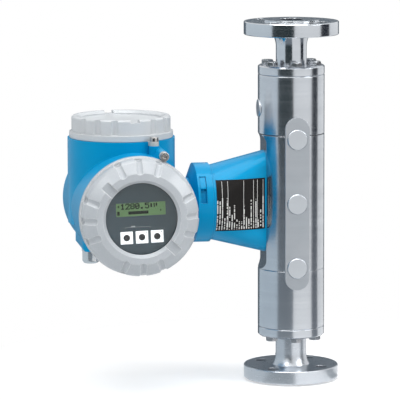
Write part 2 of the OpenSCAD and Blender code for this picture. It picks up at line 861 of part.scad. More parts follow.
module display_claw() {
    color("gainsboro") difference() {
        at_display_claw(barrel_front - 1 + close_fit) claw(claw_r + 3);
        display_axis(barrel_front - 3) cylinder(r = display_cover_r + running_fit, h = 2 * claw_t, $fn = fine);
    }
}

module display_claw_screw() {
    color("silver") at_display_claw(barrel_front - 1 + claw_t + 2 * close_fit)
        socket_screw(claw_screw_r, claw_screw_h, claw_shank_r, claw_shank_len);
}

module terminal_claw() {
    color("gainsboro") difference() {
        at_terminal_claw(terminal_rim - 4.4 + close_fit) claw(claw_r + 4);
        terminal_axis(terminal_rim - 10) cylinder(r = terminal_r + close_fit, h = 10 + close_fit, $fn = fine);
        terminal_axis(terminal_rim - 1) cylinder(r = terminal_base_r + running_fit, h = 2 * claw_t, $fn = fine);
    }
}

module terminal_claw_screw() {
    color("silver") at_terminal_claw(terminal_rim - 4.4 + claw_t + 2 * close_fit)
        socket_screw(claw_screw_r, claw_screw_h, claw_shank_r, claw_shank_len - 2);
}

// ---- Cable glands ----

module gland_bodies() {
    color("gainsboro") at_entries() difference() {
        union() {
            translate([0, 0, -gland_hex_h / 2]) cylinder(d = gland_d, h = gland_grip + gland_hex_h / 2, $fn = medium);
            translate([0, 0, -gland_hex_h]) cylinder(d = gland_flats / cos(30), h = gland_hex_h - close_fit, $fn = 6);
            translate([0, 0, -gland_hex_h - 7]) cylinder(d = gland_nut_d - 5, h = 8, $fn = medium);
        }
        translate([0, 0, -2 * gland_hex_h - 7]) cylinder(d = gland_bore_d + 3, h = 2 * gland_hex_h + 20, $fn = medium);
    }
}

module gland_nuts() {
    nut_top = -gland_hex_h - close_fit;
    color("gainsboro") at_entries() difference() {
        translate([0, 0, nut_top - gland_nut_h]) rotate_extrude($fn = medium) {
            translate([0, 4]) square([gland_nut_d / 2, gland_nut_h - 4]);
            square([gland_nut_d / 2 - 4, 4]);
            translate([gland_nut_d / 2 - 4, 4]) circle(r = 4, $fn = medium);
        }
        translate([0, 0, nut_top - 9]) cylinder(d = gland_nut_d - 5 + 2 * close_fit, h = 10, $fn = medium);
        translate([0, 0, nut_top - gland_nut_h - over]) cylinder(d = gland_bore_d, h = gland_nut_h, $fn = medium);
    }
}

// Rubber bushes that grip the cable
module gland_seals() {
    bush = gland_bore_d + 3 - 2 * close_fit;
    color("black") at_entries() translate([0, 0, -gland_hex_h - 9]) ring_solid(bush / 2, gland_bore_d / 2, 9);
}

// ---- Inside the housing ----

// Row of screw terminals on the partition wall
module terminal_block() {
    block = [66, 15, 16];
    poles = 8;
    color("darkgreen") translate([-terminal_x - block[0] / 2, -partition_y + close_fit, mid + 34]) difference() {
        cube(block);
        for (i = [0 : poles - 1]) translate([(i + 0.5) * block[0] / poles, 0, 0]) {
            translate([0, 6, block[2] - 4]) cylinder(r = 2.4, h = 5, $fn = small);
            translate([0, block[1] - 4, 5]) rotate([-90, 0, 0]) cylinder(r = 2, h = 5, $fn = small);
        }
    }
}

board_span = [78, 62];
board_levels = [22, 36, 50];
board_t = 1.6;

// Three circuit boards on posts, with their larger components
module circuit_boards() {
    color("darkgreen") for (i = [0 : 2]) display_axis(partition_y + partition_t + board_levels[i]) difference() {
        union() {
            linear_extrude(board_t) square(board_span, center = true);
            for (part = [[-22, 12, 16, 9, 6], [8, -10, 14, 14, 4], [24, 14, 9, 15, 7], [-18, -14, 20, 8, 5]])
                translate([part[0] - part[2] / 2, part[1] - part[3] / 2, board_t]) cube([part[2], part[3], part[4]]);
        }
        for (x = [-1, 1], y = [-1, 1]) translate([x * (board_span[0] / 2 - 5), y * (board_span[1] / 2 - 5), -over])
            cylinder(r = 2 + close_fit, h = board_t + 2 * over, $fn = small);
    }
}

// Frame on the partition wall, with four posts through the boards
module board_carrier() {
    color("whitesmoke") display_axis(partition_y + partition_t + close_fit) {
        for (x = [-1, 1], y = [-1, 1]) translate([x * (board_span[0] / 2 - 5), y * (board_span[1] / 2 - 5), 0]) {
            cylinder(r = 4, h = board_levels[0] - 2 * close_fit, $fn = small);
            cylinder(r = 2, h = board_levels[2] + board_t, $fn = small);
        }
        difference() {
            linear_extrude(4) square(board_span, center = true);
            translate([0, 0, -over]) linear_extrude(4 + 2 * over) square([board_span[0] - 24, board_span[1] - 24], center = true);
        }
    }
}

// Sleeves that hold the upper boards apart
module board_spacers() {
    first = partition_y + partition_t + board_t + close_fit;
    color("silver") for (i = [0, 1], x = [-1, 1], y = [-1, 1]) display_axis(first + board_levels[i])
        translate([x * (board_span[0] / 2 - 5), y * (board_span[1] / 2 - 5), 0])
            ring_solid(3.5, 2 + close_fit, board_levels[i + 1] - board_levels[i] - board_t - 2 * close_fit);
}

// Round tray behind the display
module display_carrier() {
    back = partition_y + partition_t + board_levels[2] + board_t + 8;
    color("dimgray") display_axis(back) rotate([0, 0, module_turn]) {
        difference() {
            cylinder(r = carrier_r, h = face_front - face_t - back - close_fit, $fn = fine);
            translate([0, 0, 3]) cylinder(r = carrier_r - 3, h = face_front, $fn = fine);
        }
    }
}

// Slate front disc with the display recess
module display_face() {
    color("slategray") display_axis(face_front - face_t) rotate([0, 0, module_turn]) difference() {
        cylinder(r = face_r, h = face_t, $fn = fine);
        translate([-lcd_w / 2, lcd_y - lcd_h / 2, face_t - 1]) cube([lcd_w, lcd_h, 2]);
    }
}

module display_lcd() {
    color("yellowgreen") display_axis(face_front - 1) rotate([0, 0, module_turn])
        translate([close_fit - lcd_w / 2, lcd_y - lcd_h / 2 + close_fit, close_fit])
            cube([lcd_w - 2 * close_fit, lcd_h - 2 * close_fit, 0.6]);
}

// Fields of the three optical keys
module display_keys() {
    color("white") display_axis(face_front + 0.02) rotate([0, 0, module_turn]) for (i = [-1, 0, 1])
        translate([i * key_pitch - key_w / 2, key_y - key_w / 2, 0]) cube([key_w, key_w, key_t]);
}

// ---- Covers ----

// U-shaped grip flutes in groups of three: each starts in the face, runs down the
// bevel at the given slope and meets a straight flute in the wall
module grip_flutes(start_r, start_z, slope, wall_r, wall_z) {
    for (group = [0 : 90 : 270], i = [-1, 0, 1]) rotate([0, 0, group + i * notch_step]) {
        translate([start_r, 0, start_z]) rotate([0, 90 + slope, 0]) {
            sphere(r = notch_r, $fn = small);
            cylinder(r = notch_r, h = 6 * notch_r, $fn = small);
        }
        translate([wall_r, 0, wall_z]) cylinder(r = notch_r, h = start_z - wall_z, $fn = small);
    }
}

// Two slots for a bar wrench, across the rim on one diameter
module wrench_slots(inner_r, outer_r, top) {
    for (half = [0, 180]) rotate([0, 0, 135 + half])
        translate([inner_r, -slot_w / 2, top - slot_depth]) cube([outer_r - inner_r, slot_w, slot_depth + over]);
}

// Screwed ring cover with a bevel, a conical window edge and a pocket for the glass
module display_cover() {
    base = cover_gap;
    depth = display_cover_depth;
    face_edge = display_wall_r - rim_w - bevel_w;
    slope = atan2(bevel_drop, bevel_w) - 2;
    color("gainsboro") display_axis(barrel_front) rotate([0, 0, display_cover_turn]) difference() {
        rotate_extrude($fn = fine) polygon([
            [0, base], [display_cover_r, base], [display_cover_r, base + cover_base_h - edge],
            [display_cover_r - edge, base + cover_base_h], [display_wall_r, base + cover_base_h],
            [display_wall_r, depth - bevel_drop - rim_drop], [display_wall_r - rim_w, depth - bevel_drop],
            [face_edge, depth], [0, depth]
        ]);
        translate([0, 0, -over]) cylinder(r = display_spigot_r + running_fit, h = display_spigot_h + over + 1, $fn = fine);
        translate([0, 0, -over]) cylinder(r = display_spigot_r + seal_section + 0.6, h = base + seal_section + over + 0.1, $fn = fine);
        cylinder(r = glass_pocket_r + 2, h = depth - front_wall - glass_t, $fn = fine);
        cylinder(r = glass_pocket_r, h = depth - front_wall, $fn = fine);
        cylinder(r = window_r, h = depth + over, $fn = fine);
        translate([0, 0, depth - window_chamfer])
            cylinder(r1 = window_r, r2 = window_r + window_chamfer * 1.25, h = window_chamfer * 1.25, $fn = fine);
        grip_flutes(face_edge + 3, depth + 1.5, slope, display_wall_r + notch_r - 3, base + cover_base_h + 1.5);
        wrench_slots(window_r, display_cover_r, depth);
    }
}

module display_glass() {
    color("lightcyan", 0.4) display_axis(glass_front - glass_t) cylinder(r = glass_r, h = glass_t - close_fit, $fn = fine);
}

module glass_retainer() {
    color("dimgray") display_axis(glass_front - glass_t - retainer_t) rotate([0, 0, display_cover_turn])
        ring_solid(glass_pocket_r + 2 - close_fit, retainer_ir, retainer_t - close_fit);
}

module display_cover_seal() {
    color("black") display_axis(barrel_front + close_fit)
        ring_solid(display_spigot_r + seal_section + 0.4, display_spigot_r + 0.15, seal_section);
}

// Screwed blind cover with a raised rim round a sunken middle
module terminal_cover() {
    base = cover_gap;
    h = terminal_cover_h;
    r = terminal_cover_r;
    color("gainsboro") terminal_axis(terminal_rim) rotate([0, 0, terminal_cover_turn]) difference() {
        rotate_extrude($fn = fine) {
            translate([0, base]) square([terminal_base_r, cover_base_h + 1]);
            translate([0, base]) square([r, h - terminal_shoulder_r - base]);
            translate([0, base]) square([r - terminal_shoulder_r, h - base]);
            translate([r - terminal_shoulder_r, h - terminal_shoulder_r]) circle(r = terminal_shoulder_r, $fn = fine);
        }
        translate([0, 0, -over]) cylinder(r = terminal_spigot_r + running_fit, h = spigot_h + over + 2, $fn = fine);
        translate([0, 0, -over]) cylinder(r = terminal_spigot_r + seal_section + 0.6, h = base + seal_section + over + 0.1, $fn = fine);
        translate([0, 0, h - recess_depth]) cylinder(r = recess_r, h = recess_depth + over, $fn = fine);
        translate([0, 0, h - recess_depth + recess_step])
            cylinder(r1 = recess_r, r2 = recess_r + 3.6, h = recess_depth - recess_step + 0.01, $fn = fine);
        for (group = [0 : 90 : 270], i = [-1, 0, 1]) rotate([0, 0, group + i * notch_step])
            translate([r + notch_r - 2.8, 0, cover_base_h + 2]) cylinder(r = notch_r, h = h, $fn = small);
        wrench_slots(recess_r - 2, terminal_base_r, h);
    }
}

module terminal_cover_seal() {
    color("black") terminal_axis(terminal_rim + close_fit)
        ring_solid(terminal_spigot_r + seal_section + 0.4, terminal_spigot_r + 0.15, seal_section);
}

lower_flange();
upper_flange();
lower_neck();
upper_neck();
lower_end_plate();
upper_end_plate();
lower_end_bolts();
upper_end_bolts();
end_seals();
lower_splitter();
upper_splitter();
barrel();
front_plate();
front_plugs();
side_plug();
front_tube();
rear_tube();
coupling_plates();
exciter_coil();
exciter_magnet();
pickup_coils();
pickup_magnets();
temperature_sensor();
feedthrough();
signal_loom();
neck_casting();
nameplate();
bayonet_ring();
securing_screws();
transmitter_housing();
neck_seal();
display_claw();
display_claw_screw();
terminal_claw();
terminal_claw_screw();
gland_bodies();
gland_nuts();
gland_seals();
terminal_block();
circuit_boards();
board_carrier();
board_spacers();
display_carrier();
display_face();
display_lcd();
display_keys();
display_cover();
display_glass();
glass_retainer();
display_cover_seal();
terminal_cover();
terminal_cover_seal();
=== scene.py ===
import math

import bpy
import numpy as np
from mathutils import Matrix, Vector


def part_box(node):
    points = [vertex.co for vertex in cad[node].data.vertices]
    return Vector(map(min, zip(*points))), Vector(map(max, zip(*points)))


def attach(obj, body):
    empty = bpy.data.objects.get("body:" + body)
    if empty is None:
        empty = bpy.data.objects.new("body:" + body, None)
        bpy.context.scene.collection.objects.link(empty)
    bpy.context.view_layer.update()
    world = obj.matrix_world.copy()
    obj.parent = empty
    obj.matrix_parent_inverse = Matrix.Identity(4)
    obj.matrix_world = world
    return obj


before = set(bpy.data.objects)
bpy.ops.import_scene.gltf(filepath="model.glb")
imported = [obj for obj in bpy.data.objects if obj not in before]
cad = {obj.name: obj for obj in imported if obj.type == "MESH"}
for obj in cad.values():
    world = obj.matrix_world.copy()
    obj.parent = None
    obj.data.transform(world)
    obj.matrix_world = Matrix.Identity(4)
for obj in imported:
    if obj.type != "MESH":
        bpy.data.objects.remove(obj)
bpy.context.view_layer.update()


# camera

viewCamera = {
    "place": (-0.7107, -3.7633, 0.7631),
    "heading": -9.039,      # degrees about Z, from looking along +Y
    "tilt": -8.075,         # degrees above level
    "roll": 0.148,          # degrees clockwise
    "lens": 286.32,
}


def placeCamera(view):
    data = bpy.data.cameras.new("viewCamera")
    data.lens, data.sensor_width, data.clip_end = view["lens"], 36.0, 40.0
    camera = bpy.data.objects.new("viewCamera", data)
    turn = Matrix.Rotation(math.radians(view["heading"]), 4, "Z")
    tilt = Matrix.Rotation(math.radians(90.0 + view["tilt"]), 4, "X")
    roll = Matrix.Rotation(math.radians(-view["roll"]), 4, "Z")
    camera.matrix_world = Matrix.Translation(view["place"]) @ turn @ tilt @ roll
    bpy.context.scene.collection.objects.link(camera)
    bpy.context.scene.camera = camera


placeCamera(viewCamera)
bpy.context.scene.view_settings.view_transform = "Standard"
print("camera placed")


# node helpers

def addNode(tree, kind, inputs=None, **settings):
    node = tree.nodes.new(kind)
    for key, value in settings.items():
        setattr(node, key, value)
    for key, value in (inputs or {}).items():
        if isinstance(value, bpy.types.NodeSocket):
            tree.links.new(value, node.inputs[key])
        else:
            node.inputs[key].default_value = value
    return node


def calc(tree, operation, a, b=0.0, clamp=False):
    node = addNode(tree, "ShaderNodeMath", {0: a, 1: b}, operation=operation)
    node.use_clamp = clamp
    return node.outputs[0]


def remap(tree, value, low, high, toLow=0.0, toHigh=1.0):
    node = addNode(tree, "ShaderNodeMapRange", {
        "Value": value, "From Min": low, "From Max": high, "To Min": toLow, "To Max": toHigh})
    return node.outputs["Result"]


def blendColors(tree, factor, a, b):
    def full(c):
        return c if isinstance(c, bpy.types.NodeSocket) else (*c, 1.0)
    node = addNode(tree, "ShaderNodeMix", {0: factor, 6: full(a), 7: full(b)}, data_type="RGBA")
    return node.outputs[2]


def newGroup(name, inputs, outputs):
    group = bpy.data.node_groups.new(name, "ShaderNodeTree")
    for title, kind, value in inputs:
        socket = group.interface.new_socket(title, in_out="INPUT", socket_type=kind)
        if value is not None:
            socket.default_value = value
    for title, kind in outputs:
        group.interface.new_socket(title, in_out="OUTPUT", socket_type=kind)
    source = group.nodes.new("NodeGroupInput")
    sink = group.nodes.new("NodeGroupOutput")
    return group, source.outputs, sink.inputs


def useGroup(tree, group, inputs):
    node = tree.nodes.new("ShaderNodeGroup")
    node.node_tree = group
    for key, value in inputs.items():
        if isinstance(value, bpy.types.NodeSocket):
            tree.links.new(value, node.inputs[key])
        else:
            node.inputs[key].default_value = value
    return node.outputs


# shared effects

def makeEdgeWearAndHighlight():
    # mask = how far the rounded normal leans from the true one, broken up by noise; the lighter edges it drives are
    # partly rubbed wear and partly painted highlight
    group, given, out = newGroup("edgeWearAndHighlight", [
        ("Vector", "NodeSocketVector", None), ("Radius", "NodeSocketFloat", 0.0005),
        ("Breakup", "NodeSocketFloat", 0.5)],
        [("Mask", "NodeSocketFloat"), ("Normal", "NodeSocketVector")])
    bevel = addNode(group, "ShaderNodeBevel", {"Radius": given["Radius"]}, samples=6)
    flat = addNode(group, "ShaderNodeNewGeometry")
    lean = addNode(group, "ShaderNodeVectorMath", {0: bevel.outputs[0], 1: flat.outputs["Normal"]},
                   operation="DOT_PRODUCT")
    edge = remap(group, lean.outputs["Value"], 0.995, 0.8)
    noise = addNode(group, "ShaderNodeTexNoise", {"Vector": given["Vector"], "Scale": 260.0, "Detail": 3.0})
    gate = remap(group, noise.outputs[0], 0.35, 0.65)
    kept = calc(group, "MULTIPLY", gate, given["Breakup"])
    whole = calc(group, "SUBTRACT", 1.0, given["Breakup"])
    mask = calc(group, "MULTIPLY", edge, calc(group, "ADD", kept, whole), clamp=True)
    group.links.new(mask, out["Mask"])
    group.links.new(bevel.outputs[0], out["Normal"])
    return group


def makeGrain():
    # two layers of noise, one three times finer than the other
    group, given, out = newGroup("surfaceGrain", [
        ("Vector", "NodeSocketVector", None), ("Scale", "NodeSocketFloat", 500.0)],
        [("Value", "NodeSocketFloat"), ("Coarse", "NodeSocketFloat")])
    first = addNode(group, "ShaderNodeTexNoise", {"Vector": given["Vector"], "Scale": given["Scale"], "Detail": 2.0})
    fine = calc(group, "MULTIPLY", given["Scale"], 3.1)
    second = addNode(group, "ShaderNodeTexNoise", {"Vector": given["Vector"], "Scale": fine, "Detail": 2.0})
    wide = calc(group, "MULTIPLY", given["Scale"], 0.05)
    third = addNode(group, "ShaderNodeTexNoise", {"Vector": given["Vector"], "Scale": wide, "Detail": 3.0})
    both = calc(group, "ADD", calc(group, "MULTIPLY", first.outputs[0], 0.6),
                calc(group, "MULTIPLY", second.outputs[0], 0.4))
    group.links.new(both, out["Value"])
    group.links.new(third.outputs[0], out["Coarse"])
    return group


def makeTurnedMarks():
    # noise that changes only with the distance from the axis and along it, as a lathe tool leaves it
    group, given, out = newGroup("turnedMarks", [
        ("Vector", "NodeSocketVector", None), ("Density", "NodeSocketFloat", 1500.0)],
        [("Value", "NodeSocketFloat"), ("Bands", "NodeSocketFloat")])
    split = addNode(group, "ShaderNodeSeparateXYZ", {0: given["Vector"]})
    flat = addNode(group, "ShaderNodeCombineXYZ", {"X": split.outputs[0], "Y": split.outputs[1]})
    away = addNode(group, "ShaderNodeVectorMath", {0: flat.outputs[0]}, operation="LENGTH")
    around = calc(group, "ARCTAN2", split.outputs[1], split.outputs[0])
    spun = addNode(group, "ShaderNodeCombineXYZ", {
        "X": away.outputs["Value"], "Y": calc(group, "MULTIPLY", around, 0.0006), "Z": split.outputs[2]})
    lines = addNode(group, "ShaderNodeTexNoise", {"Vector": spun.outputs[0], "Scale": given["Density"], "Detail": 3.0})
    bands = addNode(group, "ShaderNodeTexNoise", {
        "Vector": spun.outputs[0], "Scale": calc(group, "MULTIPLY", given["Density"], 0.08), "Detail": 2.0})
    group.links.new(lines.outputs[0], out["Value"])
    group.links.new(bands.outputs[0], out["Bands"])
    return group


def makeDust():
    # settles on faces that look up, thicker where a slow noise is high
    group, given, out = newGroup("settledDust", [
        ("Vector", "NodeSocketVector", None), ("Amount", "NodeSocketFloat", 0.3)],
        [("Mask", "NodeSocketFloat")])
    shape = addNode(group, "ShaderNodeNewGeometry")
    split = addNode(group, "ShaderNodeSeparateXYZ", {0: shape.outputs["Normal"]})
    up = remap(group, split.outputs[2], 0.35, 1.0)
    slow = addNode(group, "ShaderNodeTexNoise", {"Vector": given["Vector"], "Scale": 60.0, "Detail": 5.0})
    patch = remap(group, slow.outputs[0], 0.3, 0.75)
    mask = calc(group, "MULTIPLY", calc(group, "MULTIPLY", up, patch), given["Amount"], clamp=True)
    group.links.new(mask, out["Mask"])
    return group


edgeWearAndHighlight, surfaceGrain = makeEdgeWearAndHighlight(), makeGrain()
turnedMarks, settledDust = makeTurnedMarks(), makeDust()
print("shared effects built")


# materials

def startMaterial(name):
    material = bpy.data.materials.new(name)
    material.use_nodes = True
    tree = material.node_tree
    tree.nodes.clear()
    sink = tree.nodes.new("ShaderNodeOutputMaterial")
    shader = tree.nodes.new("ShaderNodeBsdfPrincipled")
    tree.links.new(shader.outputs[0], sink.inputs["Surface"])
    place = addNode(tree, "ShaderNodeTexCoord").outputs["Object"]
    return material, tree, shader, place


def paintedMetal(name, look):
    # powder coat: soft orange peel, edges a little lighter as rubbed wear and painted highlight, dust on top
    material, tree, shader, place = startMaterial(name)
    wearAndHighlight = useGroup(tree, edgeWearAndHighlight, {"Vector": place, "Radius": look["edgeRadius"], "Breakup": 0.45})
    grain = useGroup(tree, surfaceGrain, {"Vector": place, "Scale": look["grainScale"]})
    dust = useGroup(tree, settledDust, {"Vector": place, "Amount": look["dust"]})
    cloud = remap(tree, grain["Coarse"], 0.3, 0.7)
    color = blendColors(tree, cloud, look["color"], look["colorShift"])
    color = blendColors(tree, remap(tree, grain["Value"], 0.4, 0.65, 0.0, look["speckle"]), color, look["speckleColor"])
    color = blendColors(tree, calc(tree, "MULTIPLY", wearAndHighlight["Mask"], look["wearAndHighlight"]), color, look["edgeColor"])
    color = blendColors(tree, dust["Mask"], color, (0.72, 0.71, 0.68))
    rough = remap(tree, grain["Value"], 0.3, 0.7, look["roughness"] - 0.05, look["roughness"] + 0.05)
    bump = addNode(tree, "ShaderNodeBump", {
        "Height": grain["Value"], "Strength": look["peel"], "Distance": 0.0003, "Normal": wearAndHighlight["Normal"]})
    tree.links.new(color, shader.inputs["Base Color"])
    tree.links.new(rough, shader.inputs["Roughness"])
    tree.links.new(bump.outputs[0], shader.inputs["Normal"])
    shader.inputs["Specular IOR Level"].default_value = look["specular"]
    shader.inputs["Specular Tint"].default_value = (*look["tint"], 1.0)
    shader.inputs["Coat Weight"].default_value = look["coat"]
    shader.inputs["Coat Roughness"].default_value = look["coatRoughness"]
    return material, tree, shader, place


def bareSteel(name, look):
    # turned metal: fine rings from the tool, broad bands, slight tarnish in clouds
    material, tree, shader, place = startMaterial(name)
    marks = useGroup(tree, turnedMarks, {"Vector": place, "Density": look["density"]})
    grain = useGroup(tree, surfaceGrain, {"Vector": place, "Scale": 420.0})
    wearAndHighlight = useGroup(tree, edgeWearAndHighlight, {"Vector": place, "Radius": look["edgeRadius"], "Breakup": 0.3})
    color = blendColors(tree, remap(tree, marks["Bands"], 0.3, 0.7), look["color"], look["bandColor"])
    color = blendColors(tree, remap(tree, grain["Coarse"], 0.4, 0.75, 0.0, 0.5), color, look["tarnish"])
    # edges lighter: partly worn metal, partly painted highlight
    color = blendColors(tree, calc(tree, "MULTIPLY", wearAndHighlight["Mask"], 0.5), color, look["edgeColor"])
    rough = calc(tree, "ADD", remap(tree, marks["Value"], 0.3, 0.7, look["roughness"] - 0.04, look["roughness"] + 0.04),
                 remap(tree, grain["Value"], 0.3, 0.7, -0.02, 0.03))
    bump = addNode(tree, "ShaderNodeBump", {
        "Height": marks["Value"], "Strength": look["relief"], "Distance": 0.0001, "Normal": wearAndHighlight["Normal"]})
    tree.links.new(color, shader.inputs["Base Color"])
    tree.links.new(rough, shader.inputs["Roughness"])
    tree.links.new(bump.outputs[0], shader.inputs["Normal"])
    shader.inputs["Metallic"].default_value = 1.0
    return material, tree, shader, place


def plainMoulded(name, look):
    # plastic, rubber or ceramic with a fine grain
    material, tree, shader, place = startMaterial(name)
    grain = useGroup(tree, surfaceGrain, {"Vector": place, "Scale": look["grainScale"]})
    wearAndHighlight = useGroup(tree, edgeWearAndHighlight, {"Vector": place, "Radius": look.get("edgeRadius", 0.0002), "Breakup": 0.5})
    color = blendColors(tree, remap(tree, grain["Value"], 0.3, 0.7), look["color"], look["colorShift"])
    # edges lighter: partly wear, partly painted highlight
    color = blendColors(tree, calc(tree, "MULTIPLY", wearAndHighlight["Mask"], 0.35), color, look["edgeColor"])
    rough = remap(tree, grain["Value"], 0.3, 0.7, look["roughness"] - 0.06, look["roughness"] + 0.06)
    bump = addNode(tree, "ShaderNodeBump", {
        "Height": grain["Value"], "Strength": look["relief"], "Distance": 0.0001, "Normal": wearAndHighlight["Normal"]})
    tree.links.new(color, shader.inputs["Base Color"])
    tree.links.new(rough, shader.inputs["Roughness"])
    tree.links.new(bump.outputs[0], shader.inputs["Normal"])
    shader.inputs["Metallic"].default_value = look.get("metallic", 0.0)
    return material, tree, shader, place


def dress(material, *names):
    for name in names:
        for slot in cad[name].material_slots:
            slot.material = material


bluePaint = {
    "color": (0.0, 0.275, 0.535), "colorShift": (0.0, 0.255, 0.505), "speckle": 0.06, "speckleColor": (0.0, 0.33, 0.62),
    "edgeColor": (0.03, 0.38, 0.70), "wearAndHighlight": 0.45, "edgeRadius": 0.0011, "grainScale": 520.0, "dust": 0.015,
    "roughness": 0.38, "peel": 0.10, "coat": 0.04, "coatRoughness": 0.16, "specular": 0.3, "tint": (0.05, 0.72, 1.0),
}
coverPaint = {
    "color": (0.53, 0.555, 0.575), "colorShift": (0.50, 0.525, 0.545), "speckle": 0.16,
    "speckleColor": (0.62, 0.64, 0.66),
    "edgeColor": (0.83, 0.835, 0.84), "wearAndHighlight": 0.6, "edgeRadius": 0.0009, "grainScale": 620.0, "dust": 0.05,
    "roughness": 0.40, "peel": 0.16, "coat": 0.12, "coatRoughness": 0.2, "specular": 0.5, "tint": (1.0, 1.0, 1.0),
}
turnedSteel = {
    "color": (0.60, 0.63, 0.67), "bandColor": (0.54, 0.57, 0.61), "tarnish": (0.50, 0.52, 0.55),
    "edgeColor": (0.80, 0.82, 0.84), "edgeRadius": 0.0006, "density": 1400.0, "roughness": 0.20, "relief": 0.025,
}
flangeSteel = dict(turnedSteel, roughness=0.15, density=1100.0, relief=0.04, color=(0.60, 0.635, 0.675))
satinSteel = dict(flangeSteel, color=(0.55, 0.585, 0.625), roughness=0.30, relief=0.06, edgeRadius=0.0008)
plateSteel = dict(turnedSteel, color=(0.415, 0.45, 0.485), bandColor=(0.385, 0.415, 0.45), roughness=0.38, relief=0.03)
capSteel = dict(turnedSteel, color=(0.56, 0.60, 0.635), roughness=0.33, edgeColor=(0.88, 0.90, 0.92), density=700.0)
boltSteel = dict(turnedSteel, color=(0.54, 0.55, 0.57), bandColor=(0.48, 0.49, 0.51), roughness=0.22, density=900.0)
innerSteel = dict(turnedSteel, color=(0.55, 0.58, 0.62), roughness=0.3)
screwSteel = dict(turnedSteel, color=(0.50, 0.48, 0.46), bandColor=(0.42, 0.40, 0.38), roughness=0.14, density=900.0)

# the seam colour is painted shade in the weld grooves
weldSeams = {"span": 0.1646, "width": 0.0011, "fade": 0.0006, "color": (0.055, 0.062, 0.075),
             "upperDepth": 0.72, "lowerDepth": 0.07}


def weldedSteel(name, look, seams):
    # the seam band is painted shade in the weld groove, stronger where the groove is deeper: it sits where the distance
    # from the middle of the barrel is half the span, fading out on both sides; the lower one is ground nearly flush
    material, tree, shader, place = bareSteel(name, look)
    low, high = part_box("barrel")
    rise = addNode(tree, "ShaderNodeSeparateXYZ", {0: place}).outputs[2]
    offMiddle = calc(tree, "SUBTRACT", rise, (low.z + high.z) / 2)
    fromMiddle = calc(tree, "ABSOLUTE", offMiddle)
    off = calc(tree, "ABSOLUTE", calc(tree, "SUBTRACT", fromMiddle, seams["span"] / 2))
    depth = remap(tree, offMiddle, -0.01, 0.01, seams["lowerDepth"], seams["upperDepth"])
    seamShade = calc(tree, "MULTIPLY", depth, remap(tree, off, seams["width"], seams["width"] - seams["fade"]))
    bare = shader.inputs["Base Color"].links[0].from_socket
    tree.links.new(blendColors(tree, seamShade, bare, seams["color"]), shader.inputs["Base Color"])
    return material


steelMaterial = bareSteel("turnedSteel", turnedSteel)[0]
dress(weldedSteel("weldedSteel", turnedSteel, weldSeams), "barrel")
flangeMaterial = bareSteel("flangeSteel", flangeSteel)[0]
satinMaterial = bareSteel("satinSteel", satinSteel)[0]
plateMaterial = bareSteel("groundPlate", plateSteel)[0]
capMaterial = bareSteel("plugSteel", capSteel)[0]
boltMaterial = bareSteel("boltSteel", boltSteel)[0]
innerMaterial = bareSteel("innerSteel", innerSteel)[0]
screwMaterial = bareSteel("screwSteel", screwSteel)[0]
dress(steelMaterial, "lower_end_plate", "upper_end_plate")
dress(flangeMaterial, "upper_flange", "upper_neck")
dress(satinMaterial, "lower_flange", "lower_neck")
dress(plateMaterial, "front_plate")
dress(capMaterial, "front_plugs", "side_plug")
dress(boltMaterial, "lower_end_bolts", "upper_end_bolts")
dress(innerMaterial, "lower_splitter", "upper_splitter", "coupling_plates", "front_tube", "rear_tube")
dress(screwMaterial, "securing_screws", "terminal_claw_screw", "display_claw_screw", "board_spacers")
# the terminal cover's paint, darker here as painted shade on the front-facing cover, with strongly lightened lips as
# painted highlight
shadedDisplayPaint = dict(coverPaint, color=(0.42, 0.45, 0.48), colorShift=(0.395, 0.425, 0.455), wearAndHighlight=0.85,
                    edgeColor=(0.95, 0.955, 0.96), edgeRadius=0.0016, coat=0.3, coatRoughness=0.12)
dress(paintedMetal("shadedDisplayPaint", shadedDisplayPaint)[0], "display_cover")
dress(paintedMetal("coverPaint", coverPaint)[0], "terminal_cover")
neckPaint = dict(bluePaint, coat=0.20, coatRoughness=0.10)
dress(paintedMetal("neckPaint", neckPaint)[0], "neck_casting", "bayonet_ring")
clawPaint = dict(coverPaint, color=(0.50, 0.49, 0.45), colorShift=(0.45, 0.44, 0.41), edgeRadius=0.0004)
dress(paintedMetal("clawPaint", clawPaint)[0], "display_claw", "terminal_claw")

